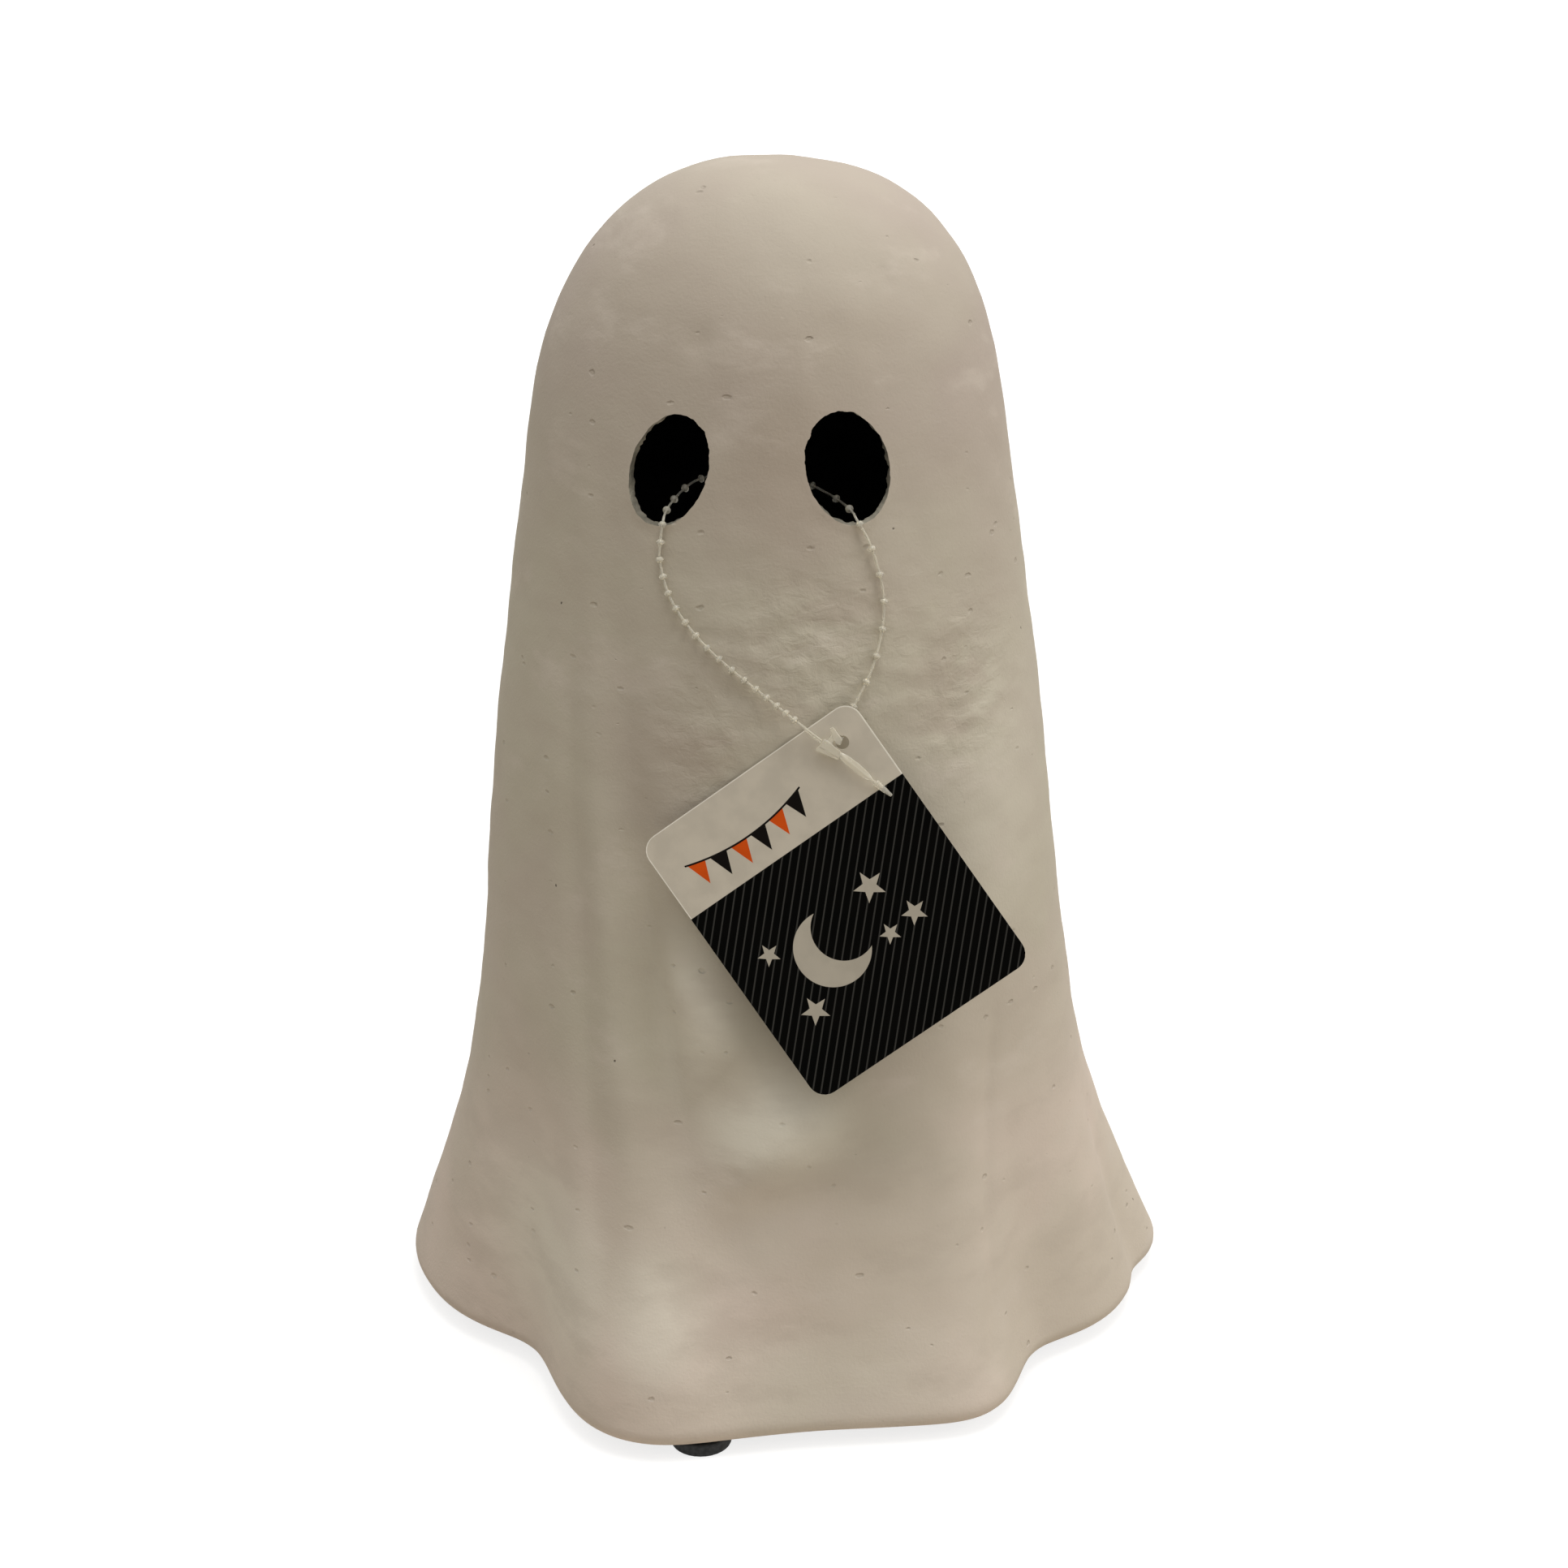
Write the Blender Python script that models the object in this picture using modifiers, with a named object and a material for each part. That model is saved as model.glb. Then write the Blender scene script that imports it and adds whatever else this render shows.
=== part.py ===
# Paper mache ghost: a hollow moulded shell in the shape of a draped sheet, on three rubber pads.
# A card tag hangs in front of its chest on a beaded plastic loop that goes through both eye holes.
# Metres, +Z up, the floor at z = 0. The ghost faces -Y, and +X is on the right of who faces it.

import math

import bmesh
import bpy
from mathutils import Matrix, Vector

# Moulded shell
HEIGHT = 0.3182
WALL = 0.003
SHOULDER_LEVEL = 0.250
SHOULDER_HALF_WIDTH = 0.0624
SHOULDER_HALF_DEPTH = 0.0560
HEM_HALF_WIDTH = 0.0948
HEM_HALF_DEPTH = 0.0908
CROWN_SQUARENESS = 2.6
FLARE_REACH = 0.0083
FLARE_LEVEL = 0.085
CHEST_REACH = 0.0012
CHEST_LEVEL = 0.180
CHEST_SPREAD = 0.035
HEAD_LEAN = 0.0052
LEAN_LEVEL = 0.100
CROWN_SHIFT = 0.0022
HEM_ROLL = 0.005
HEM_LIP = 0.014
AROUND = 72
UP_SIDE = 18
UP_CROWN = 9

# Eye holes, cut square to the face: azimuth from the front, and the lean of each oval's top
EYE_HEIGHT = 0.0280
EYE_PITCH = 8.0
EYE_CUT_DEPTH = 0.045
EYES = {
    "left": {"azimuth": -24.7, "level": 0.2497, "width": 0.0200, "lean": 19.0},
    "right": {"azimuth": 20.3, "level": 0.2505, "width": 0.0215, "lean": -14.0},
}

# Folds of the sheet. Each runs from the hem, at the azimuth foot, to the level top, at the
# azimuth head, and dies out there. It stands out by reach at the hem, or in where reach is below 0.
FOLDS = {
    "left_lobe": {"foot": -95, "head": -90, "spread": 14, "reach": 0.0092, "top": 0.090},
    "left_notch": {"foot": -52, "head": -50, "spread": 9.5, "reach": -0.0112, "top": 0.110},
    "front_left_ridge": {"foot": -23, "head": -42, "spread": 9.5, "reach": 0.0100, "top": 0.200},
    "front_hollow": {"foot": 6, "head": 6, "spread": 8, "reach": -0.0024, "top": 0.060},
    "front_right_ridge": {"foot": 31, "head": 36, "spread": 7, "reach": 0.0050, "top": 0.090},
    "right_notch": {"foot": 51, "head": 50, "spread": 8.5, "reach": -0.0105, "top": 0.125},
    "right_crease": {"foot": 82, "head": 80, "spread": 3.5, "reach": -0.0030, "top": 0.070},
    "right_lobe": {"foot": 97, "head": 90, "spread": 11, "reach": 0.0102, "top": 0.090},
    "back_right_notch": {"foot": 123, "head": 120, "spread": 9, "reach": -0.0090, "top": 0.120},
    "back_right_lobe": {"foot": 149, "head": 143, "spread": 11, "reach": 0.0085, "top": 0.150},
    "back_notch": {"foot": 177, "head": 175, "spread": 9, "reach": -0.0085, "top": 0.130},
    "back_left_lobe": {"foot": -155, "head": -148, "spread": 11, "reach": 0.0090, "top": 0.170},
    "back_left_notch": {"foot": -127, "head": -122, "spread": 9, "reach": -0.0095, "top": 0.115},
}
FOLD_FADE = 1.5

# Ridges, grooves, hollows and swells between the folds. Each is centred at an azimuth and level,
# its azimuth drifts by so many degrees a metre of rise, and it fades over above and below.
SWELLS = {
    "left_edge": {"azimuth": -38.0, "level": 0.125, "drift": -126, "spread": 3.5,
                  "reach": -0.0022, "above": 0.055, "below": 0.060},
    "left_ridge": {"azimuth": -32.0, "level": 0.120, "drift": -125, "spread": 4.5,
                   "reach": 0.0020, "above": 0.060, "below": 0.050},
    "inner_groove": {"azimuth": -24.0, "level": 0.115, "drift": -140, "spread": 4.5,
                     "reach": -0.0046, "above": 0.055, "below": 0.032},
    "inner_ridge": {"azimuth": -11.0, "level": 0.109, "drift": -500, "spread": 6,
                    "reach": 0.0026, "above": 0.018, "below": 0.014},
    "belly_swell": {"azimuth": 0.0, "level": 0.080, "drift": 400, "spread": 7,
                    "reach": 0.0056, "above": 0.012, "below": 0.012},
    "belly_hollow": {"azimuth": -9.0, "level": 0.052, "drift": 350, "spread": 6,
                     "reach": -0.0018, "above": 0.020, "below": 0.020},
    "foot_swell": {"azimuth": -20.0, "level": 0.024, "drift": 0, "spread": 8,
                   "reach": 0.0036, "above": 0.014, "below": 0.010},
}

# Rubber pads under the rolled hem
PAD_RADIUS = 0.008
PAD_HEIGHT = 0.0035
PAD_EDGE = 0.0005
PAD_INSET = 0.0100
PADS = {"front": -13.5, "back_right": 118.0, "back_left": -130.0}
CLEARANCE = 0.0003
HEM_LEVEL = PAD_HEIGHT + CLEARANCE

# Beaded plastic loop: x, level and how far the strand stands in front of the shell's outer face.
# It starts behind the lock, goes through the tag, up to the right eye, round inside the head
# and down from the left eye, back to the lock.
STRAND_DIAMETER = 0.0008
STRAND_STEPS = 2
STRAND_ROUTE = [
    (0.0137, 0.1868, 0.0049),
    (0.0138, 0.1866, 0.0041),
    (0.0140, 0.1868, 0.0031),
    (0.0146, 0.1884, 0.0019),
    (0.0160, 0.1920, 0.0014),
    (0.0179, 0.1956, 0.0014),
    (0.0207, 0.2010, 0.0014),
    (0.0228, 0.2074, 0.0014),
    (0.0239, 0.2139, 0.0014),
    (0.0238, 0.2204, 0.0014),
    (0.0223, 0.2270, 0.0014),
    (0.0201, 0.2332, 0.0016),
    (0.0172, 0.2382, 0.0006),
    (0.0163, 0.2390, -0.0035),
    (0.0143, 0.2392, -0.0120),
    (0.0104, 0.2403, -0.0195),
    (0.0040, 0.2423, -0.0245),
    (-0.0060, 0.2440, -0.0270),
    (-0.0150, 0.2443, -0.0248),
    (-0.0218, 0.2436, -0.0195),
    (-0.0252, 0.2423, -0.0145),
    (-0.0278, 0.2406, -0.0085),
    (-0.0293, 0.2392, -0.0030),
    (-0.0299, 0.2378, 0.0008),
    (-0.0306, 0.2328, 0.0016),
    (-0.0308, 0.2283, 0.0014),
    (-0.0289, 0.2208, 0.0014),
    (-0.0252, 0.2146, 0.0014),
    (-0.0198, 0.2085, 0.0014),
    (-0.0136, 0.2032, 0.0014),
    (-0.0077, 0.1987, 0.0018),
    (-0.0019, 0.1945, 0.0032),
    (0.0026, 0.1914, 0.0049),
    (0.0086, 0.1869, 0.0059),
]

# Card tag, hung by a hole in one corner, so that the opposite corner points down
TAG_WIDTH = 0.0641
TAG_HEIGHT = 0.0781
TAG_THICKNESS = 0.0005
TAG_CORNER = 0.0044
TAG_HOLE_RADIUS = 0.00175
TAG_HOLE_INSET = 0.0077
TAG_CORNER_STEPS = 6
TAG_HOLE_STEPS = 24
TAG_TURN = 36.6
TAG_LEAN = 5.2
TAG_YAW = -5.5

# Lock of the loop: a flat moulding, drawn along its own axis from the end of the strand
LOCK_LENGTH = 0.0220
LOCK_THICKNESS = 0.0014
LOCK_LIFT = 0.0008
LOCK_SHANK = 0.0010
LOCK_HEAD = {"near": 0.0010, "post": 0.0024, "far": 0.0044, "tab": 0.0040, "wing": 0.0030}
LOCK_LEAF = {"start": 0.0060, "middle": 0.0100, "width": 0.0024}
LOCK_NECK = {"place": 0.0163, "width": 0.0008}
LOCK_BARB_WIDTH = 0.0022
LOCK_TURN = -37.0

COLOURS = {
    "papier": (0.52, 0.46, 0.37, 1.0),
    "rubber": (0.01, 0.01, 0.01, 1.0),
    "clear_plastic": (0.75, 0.76, 0.74, 1.0),
    "card": (0.60, 0.58, 0.54, 1.0),
}
ROUGHNESS = {"papier": 0.85, "rubber": 0.8, "clear_plastic": 0.2, "card": 0.55}

shell_axis = Vector((0.0, 0.0))


def new_material(name):
    material = bpy.data.materials.new(name)
    material.use_nodes = True
    surface = material.node_tree.nodes["Principled BSDF"]
    surface.inputs["Base Color"].default_value = COLOURS[name]
    surface.inputs["Roughness"].default_value = ROUGHNESS[name]
    surface.inputs["Metallic"].default_value = 0.0
    return material


def add_object(name, data, collection, material=None):
    thing = bpy.data.objects.new(name, data)
    if material:
        data.materials.append(material)
    collection.objects.link(thing)
    return thing


def section(level):
    """Half width and half depth of the plain draped form at a level."""
    drop = (SHOULDER_LEVEL - level) / SHOULDER_LEVEL
    half_width = SHOULDER_HALF_WIDTH + (HEM_HALF_WIDTH - SHOULDER_HALF_WIDTH) * drop
    half_depth = SHOULDER_HALF_DEPTH + (HEM_HALF_DEPTH - SHOULDER_HALF_DEPTH) * drop
    flare = FLARE_REACH * max(0.0, 1.0 - level / FLARE_LEVEL) ** FOLD_FADE
    flare += CHEST_REACH * math.exp(-0.5 * ((level - CHEST_LEVEL) / CHEST_SPREAD) ** 2)
    crown = 1.0
    if level > SHOULDER_LEVEL:
        rise = min(1.0, (level - SHOULDER_LEVEL) / (HEIGHT - SHOULDER_LEVEL))
        crown = (1.0 - rise ** CROWN_SQUARENESS) ** (1.0 / CROWN_SQUARENESS)
    return (half_width + flare) * crown, (half_depth + flare) * crown


def bell(azimuth, centre, spread):
    """1 at the centre azimuth, falling off to both sides. All in degrees."""
    away = (azimuth - centre + 180.0) % 360.0 - 180.0
    return math.exp(-0.5 * (away / spread) ** 2)


def relief(azimuth, level):
    """How far the folds and swells stand out of the plain form."""
    out = 0.0
    for fold in FOLDS.values():
        rise = level / fold["top"]
        if rise < 1.0:
            centre = fold["foot"] + (fold["head"] - fold["foot"]) * rise
            out += fold["reach"] * (1.0 - rise) ** FOLD_FADE * bell(azimuth, centre, fold["spread"])
    for swell in SWELLS.values():
        height = level - swell["level"]
        reach = swell["above"] if height > 0.0 else swell["below"]
        centre = swell["azimuth"] + swell["drift"] * height
        strength = swell["reach"] * math.exp(-0.5 * (height / reach) ** 2)
        out += strength * bell(azimuth, centre, swell["spread"])
    return out


def mould_point(azimuth, level, inset=0.0):
    """Point of the shell's outer face, or as far inside it as inset says."""
    half_width, half_depth = section(level)
    side = math.sin(math.radians(azimuth))
    front = math.cos(math.radians(azimuth))
    if half_width * half_depth < 1e-9:
        radius = 0.0
    else:
        radius = 1.0 / math.hypot(side / half_width, front / half_depth)
        radius += relief(azimuth, level) - inset
    rise = max(0.0, (level - SHOULDER_LEVEL) / (HEIGHT - SHOULDER_LEVEL))
    lean = HEAD_LEAN * (1.0 - math.exp(-level / LEAN_LEVEL)) - CROWN_SHIFT * rise ** 2
    return Vector((shell_axis.x - lean + radius * side, shell_axis.y - radius * front, level))


def face_point(x, level, stand_off=0.0):
    """Point in front of the shell's outer face at a given x and level."""
    low, high = -89.0, 89.0
    for _ in range(30):
        middle = 0.5 * (low + high)
        if mould_point(middle, level).x < x:
            low = middle
        else:
            high = middle
    return Vector((x, mould_point(low, level).y - stand_off, level))


def shell_profile():
    """Pairs of inset and level down the outer side, round the rolled hem and in along its lip."""
    profile = []
    for step in range(UP_CROWN, 0, -1):
        rise = math.sin(0.5 * math.pi * step / UP_CROWN)
        profile.append((0.0, SHOULDER_LEVEL + (HEIGHT - SHOULDER_LEVEL) * rise))
    bottom = HEM_LEVEL + HEM_ROLL
    for step in range(UP_SIDE + 1):
        profile.append((0.0, SHOULDER_LEVEL + (bottom - SHOULDER_LEVEL) * step / UP_SIDE))
    for degrees in (30.0, 60.0, 90.0):
        turn = math.radians(degrees)
        profile.append((HEM_ROLL * (1.0 - math.cos(turn)), bottom - HEM_ROLL * math.sin(turn)))
    profile.append((HEM_ROLL + HEM_LIP, HEM_LEVEL))
    return profile


def turn_shell(collection):
    """The plain form as a turned surface, pulled into the draped one point by point."""
    turned = bmesh.new()
    last = None
    for inset, level in shell_profile():
        point = turned.verts.new((max(0.0, section(level)[0] - inset), 0.0, level))
        if last:
            turned.edges.new((last, point))
        last = point
    mesh = bpy.data.meshes.new("turned_profile")
    turned.to_mesh(mesh)
    turned.free()
    profile = add_object("turned_profile", mesh, collection)
    screw = profile.modifiers.new("turn", "SCREW")
    screw.steps = AROUND
    screw.render_steps = AROUND
    screw.use_merge_vertices = True
    screw.merge_threshold = 0.00005
    screw.use_smooth_shade = True
    bpy.context.view_layer.update()
    turned_form = profile.evaluated_get(bpy.context.evaluated_depsgraph_get())
    shell_mesh = bpy.data.meshes.new_from_object(turned_form)
    bpy.data.objects.remove(profile)
    shell_mesh.name = "ghost_shell"
    return shell_mesh


def drape(mesh):
    """Give each point of the turned surface its place on the draped form, and centre the form."""
    for vertex in mesh.vertices:
        x, y, level = vertex.co
        inset = section(level)[0] - math.hypot(x, y)
        vertex.co = mould_point(math.degrees(math.atan2(x, -y)), level, inset)
    for axis in (0, 1):
        places = [vertex.co[axis] for vertex in mesh.vertices]
        shell_axis[axis] = -0.5 * (min(places) + max(places))
    for vertex in mesh.vertices:
        vertex.co.x += shell_axis.x
        vertex.co.y += shell_axis.y


def add_eye_cutter(name, eye, collection):
    """Oval bar through the wall, square to the face there."""
    oval = bmesh.new()
    bmesh.ops.create_cone(oval, cap_ends=True, segments=40, radius1=0.5, radius2=0.5, depth=1.0)
    outward = Matrix.Rotation(math.radians(90.0), 4, "X")
    size = Matrix.Diagonal((eye["width"], EYE_HEIGHT, EYE_CUT_DEPTH, 1.0))
    lean = Matrix.Rotation(math.radians(-eye["lean"]), 4, "Z")
    bmesh.ops.transform(oval, matrix=outward @ lean @ size, verts=oval.verts)
    mesh = bpy.data.meshes.new(name)
    oval.to_mesh(mesh)
    oval.free()
    cutter = add_object(name, mesh, collection)
    cutter.location = mould_point(eye["azimuth"], eye["level"])
    cutter.rotation_euler = (math.radians(-EYE_PITCH), 0.0, math.radians(eye["azimuth"]))
    cutter.hide_render = True
    cutter.display_type = "WIRE"
    return cutter


def make_shell(parts, cutters, material):
    mesh = turn_shell(parts)
    drape(mesh)
    shell = add_object("ghost_shell", mesh, parts, material)
    wall = shell.modifiers.new("wall", "SOLIDIFY")
    wall.thickness = WALL
    wall.offset = -1.0
    wall.use_even_offset = True
    for side, eye in EYES.items():
        cut = shell.modifiers.new("eye_" + side, "BOOLEAN")
        cut.operation = "DIFFERENCE"
        cut.solver = "EXACT"
        cut.object = add_eye_cutter("eye_cutter_" + side, eye, cutters)
    return shell


def make_pad(name, azimuth, parts, material):
    disc = bmesh.new()
    bmesh.ops.create_cone(disc, cap_ends=True, segments=32, radius1=PAD_RADIUS, radius2=PAD_RADIUS,
                          depth=PAD_HEIGHT)
    mesh = bpy.data.meshes.new(name)
    disc.to_mesh(mesh)
    disc.free()
    pad = add_object(name, mesh, parts, material)
    place = mould_point(azimuth, HEM_LEVEL + HEM_ROLL, PAD_INSET)
    pad.location = (place.x, place.y, 0.5 * PAD_HEIGHT)
    rim = pad.modifiers.new("rim", "BEVEL")
    rim.width = PAD_EDGE
    rim.segments = 2
    rim.limit_method = "ANGLE"
    mesh.shade_smooth()
    mesh.set_sharp_from_angle(angle=math.radians(40.0))
    return pad


def smooth_route(points, steps):
    """Points along a smooth curve through the route's own points, so many for each stretch."""
    ends = [2.0 * points[0] - points[1]] + points + [2.0 * points[-1] - points[-2]]
    smooth = []
    for a, b, c, d in zip(ends, ends[1:], ends[2:], ends[3:]):
        for step in range(steps):
            t = step / steps
            smooth.append(0.5 * (2.0 * b + (c - a) * t + (2.0 * a - 5.0 * b + 4.0 * c - d) * t ** 2
                                 + (3.0 * b - a - 3.0 * c + d) * t ** 3))
    smooth.append(points[-1])
    return smooth


def make_strand(parts, material):
    route = [face_point(x, level, stand_off) for x, level, stand_off in STRAND_ROUTE]
    curve = bpy.data.curves.new("loop_strand", "CURVE")
    curve.dimensions = "3D"
    curve.bevel_depth = 0.5 * STRAND_DIAMETER
    curve.bevel_resolution = 2
    curve.use_fill_caps = True
    points = smooth_route(route, STRAND_STEPS)
    spline = curve.splines.new("POLY")
    spline.points.add(len(points) - 1)
    for slot, point in zip(spline.points, points):
        slot.co = (*point, 1.0)
    return add_object("loop_strand", curve, parts, material)


def tag_frame():
    """Frame at the tag's hole: x across, y up along the card, z out of its face."""
    hang = STRAND_ROUTE[1]
    slope = math.degrees(math.atan((HEM_HALF_DEPTH - SHOULDER_HALF_DEPTH) / SHOULDER_LEVEL))
    turn = Matrix.Rotation(math.radians(TAG_YAW), 4, "Z") @ Matrix.Rotation(
        math.radians(90.0 - slope - TAG_LEAN), 4, "X")
    hole_drop = TAG_HOLE_RADIUS - 0.5 * STRAND_DIAMETER - CLEARANCE
    return Matrix.Translation(face_point(*hang)) @ turn @ Matrix.Translation((0.0, -hole_drop, 0.0))


def flat_outline(name, outlines, thickness, parts, material):
    """Plate with the given closed outlines: the first is its edge, the others are holes."""
    curve = bpy.data.curves.new(name, "CURVE")
    curve.dimensions = "2D"
    curve.fill_mode = "BOTH"
    curve.extrude = 0.5 * thickness
    for outline in outlines:
        spline = curve.splines.new("POLY")
        spline.points.add(len(outline) - 1)
        spline.use_cyclic_u = True
        for slot, (x, y) in zip(spline.points, outline):
            slot.co = (x, y, 0.0, 1.0)
    return add_object(name, curve, parts, material)


def arc(centre, radius, start, end, steps):
    points = []
    for step in range(steps + 1):
        turn = math.radians(start + (end - start) * step / steps)
        points.append((centre[0] + radius * math.cos(turn), centre[1] + radius * math.sin(turn)))
    return points


def make_tag(parts, material):
    right, top = TAG_HOLE_INSET, TAG_HOLE_INSET
    left, bottom = right - TAG_WIDTH, top - TAG_HEIGHT
    corner = TAG_CORNER
    edge = []
    edge += arc((right - corner, top - corner), corner, 0.0, 90.0, TAG_CORNER_STEPS)
    edge += arc((left + corner, top - corner), corner, 90.0, 180.0, TAG_CORNER_STEPS)
    edge += arc((left + corner, bottom + corner), corner, 180.0, 270.0, TAG_CORNER_STEPS)
    edge += arc((right - corner, bottom + corner), corner, 270.0, 360.0, TAG_CORNER_STEPS)
    hole = arc((0.0, 0.0), TAG_HOLE_RADIUS, 0.0, 360.0, TAG_HOLE_STEPS)[:-1]
    tag = flat_outline("hang_tag", [edge, hole], TAG_THICKNESS, parts, material)
    tag.matrix_world = tag_frame() @ Matrix.Rotation(math.radians(TAG_TURN), 4, "Z")
    return tag


def lock_outline():
    half = 0.5 * LOCK_SHANK
    head, leaf, neck = LOCK_HEAD, LOCK_LEAF, LOCK_NECK
    upper = [
        (0.0, half),
        (head["near"], half),
        (head["near"], head["tab"]),
        (head["post"], head["tab"]),
        (head["far"], half),
        (leaf["start"], half),
        (leaf["middle"], 0.5 * leaf["width"]),
        (neck["place"], 0.5 * neck["width"]),
        (neck["place"], 0.5 * LOCK_BARB_WIDTH),
        (LOCK_LENGTH, 0.0),
    ]
    lower = [
        (neck["place"], -0.5 * LOCK_BARB_WIDTH),
        (neck["place"], -0.5 * neck["width"]),
        (leaf["middle"], -0.5 * leaf["width"]),
        (leaf["start"], -half),
        (head["far"], -head["wing"]),
        (head["near"], -head["wing"]),
        (head["near"], -half),
        (0.0, -half),
    ]
    return upper + lower


def make_lock(parts, material):
    lock = flat_outline("loop_lock", [lock_outline()], LOCK_THICKNESS, parts, material)
    frame = tag_frame()
    strand_end = frame.inverted() @ face_point(*STRAND_ROUTE[-1])
    lift = 0.5 * TAG_THICKNESS + LOCK_LIFT + 0.5 * LOCK_THICKNESS
    start = Matrix.Translation((strand_end.x, strand_end.y, lift))
    turn = Matrix.Rotation(math.radians(LOCK_TURN), 4, "Z")
    lock.matrix_world = frame @ start @ turn @ Matrix.Translation((CLEARANCE, 0.0, 0.0))
    return lock


def main():
    for thing in list(bpy.data.objects):
        bpy.data.objects.remove(thing)
    parts = bpy.data.collections.new("paper_mache_ghost")
    cutters = bpy.data.collections.new("cutters")
    for collection in (parts, cutters):
        bpy.context.scene.collection.children.link(collection)
    make_shell(parts, cutters, new_material("papier"))
    rubber = new_material("rubber")
    for side, azimuth in PADS.items():
        make_pad("pad_" + side, azimuth, parts, rubber)
    plastic = new_material("clear_plastic")
    make_strand(parts, plastic)
    make_lock(parts, plastic)
    make_tag(parts, new_material("card"))


main()
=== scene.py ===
import math

import bmesh
import bpy
from mathutils import Matrix, Vector, noise


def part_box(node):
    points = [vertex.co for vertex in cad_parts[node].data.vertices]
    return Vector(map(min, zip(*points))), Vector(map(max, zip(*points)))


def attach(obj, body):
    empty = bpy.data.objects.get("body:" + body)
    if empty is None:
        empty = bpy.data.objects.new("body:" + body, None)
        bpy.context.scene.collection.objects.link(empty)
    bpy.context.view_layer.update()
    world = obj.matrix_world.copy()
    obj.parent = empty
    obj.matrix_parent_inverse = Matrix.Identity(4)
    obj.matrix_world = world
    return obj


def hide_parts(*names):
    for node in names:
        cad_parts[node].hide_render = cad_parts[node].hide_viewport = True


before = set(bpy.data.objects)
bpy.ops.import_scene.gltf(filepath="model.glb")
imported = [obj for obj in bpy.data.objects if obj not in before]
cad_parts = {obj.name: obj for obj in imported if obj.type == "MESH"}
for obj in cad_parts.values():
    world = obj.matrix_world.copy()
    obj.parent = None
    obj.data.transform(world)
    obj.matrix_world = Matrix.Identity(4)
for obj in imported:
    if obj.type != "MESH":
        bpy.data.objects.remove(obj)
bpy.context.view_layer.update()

# Paper mache ghost: a hollow moulded sheet on three pads, with a printed tag on a beaded loop.
# Metres, +Z up. The ghost faces -Y, and +X is on the right of who faces it.

shellLow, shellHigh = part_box("ghost_shell")
print("frame loaded:", sorted(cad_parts))


# Small helpers

def screenColour(red, green, blue):
    # a colour as a screen shows it, 0 to 255, made linear for the shaders
    channels = []
    for value in (red, green, blue):
        share = value / 255
        channels.append(share / 12.92 if share <= 0.04045 else ((share + 0.055) / 1.055) ** 2.4)
    return (*channels, 1.0)


def turned(degrees, axis):
    return Matrix.Rotation(math.radians(degrees), 4, axis)


def linkPiece(name, data, materials=()):
    piece = bpy.data.objects.new(name, data)
    bpy.context.scene.collection.objects.link(piece)
    for material in materials:
        data.materials.append(material)
    return piece


def meshFrom(bm, name):
    mesh = bpy.data.meshes.new(name)
    bm.to_mesh(mesh)
    bm.free()
    return mesh


def appliedMesh(piece):
    # a new mesh with the piece's modifiers worked in
    bpy.context.view_layer.update()
    depsgraph = bpy.context.evaluated_depsgraph_get()
    return bpy.data.meshes.new_from_object(piece.evaluated_get(depsgraph))


def smoothShaded(mesh, sharpAngle):
    mesh.shade_smooth()
    mesh.set_sharp_from_angle(angle=math.radians(sharpAngle))


def addNode(tree, kind, inputs=None, **settings):
    # a shader node with its settings, and its inputs linked or set
    node = tree.nodes.new("ShaderNode" + kind)
    for name, value in settings.items():
        setattr(node, name, value)
    for socket, value in (inputs or {}).items():
        if isinstance(value, bpy.types.NodeSocket):
            tree.links.new(value, node.inputs[socket])
        else:
            node.inputs[socket].default_value = value
    return node


def maths(tree, operation, first, second=0.0, third=0.0):
    return addNode(tree, "Math", {0: first, 1: second, 2: third}, operation=operation).outputs[0]


def times(tree, first, second):
    return maths(tree, "MULTIPLY", first, second)


def minus(tree, first, second):
    return maths(tree, "SUBTRACT", first, second)


def vectorMaths(tree, operation, first, second=(0.0, 0.0, 0.0), third=(0.0, 0.0, 0.0)):
    node = addNode(tree, "VectorMath", {0: first, 1: second, 2: third}, operation=operation)
    return node.outputs["Value" if operation in ("LENGTH", "DISTANCE") else "Vector"]


def ramp(tree, value, low, high, lowOut=0.0, highOut=1.0):
    # eased step of a value from low to high
    node = addNode(tree, "MapRange", {0: value, 1: low, 2: high, 3: lowOut, 4: highOut},
                   interpolation_type="SMOOTHSTEP", clamp=True)
    return node.outputs[0]


def blendColour(tree, share, first, second):
    return addNode(tree, "Mix", {0: share, 6: first, 7: second}, data_type="RGBA").outputs[2]


def objectPlace(tree):
    return addNode(tree, "TexCoord").outputs["Object"]


def apartOf(tree, place):
    # x, y and z of a place
    return addNode(tree, "SeparateXYZ", {0: place}).outputs


def noiseOn(tree, place, scale, detail, roughness=0.5, distortion=0.0):
    inputs = {"Vector": place, "Scale": scale, "Detail": detail, "Roughness": roughness,
              "Distortion": distortion}
    return addNode(tree, "TexNoise", inputs).outputs[0]


def cellsOn(tree, place, scale):
    # distance from the middle of each cell, and the channels of each cell's random colour
    cell = addNode(tree, "TexVoronoi", {"Vector": place, "Scale": scale}).outputs
    return cell["Distance"], addNode(tree, "SeparateColor", {0: cell["Color"]}).outputs


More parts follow.
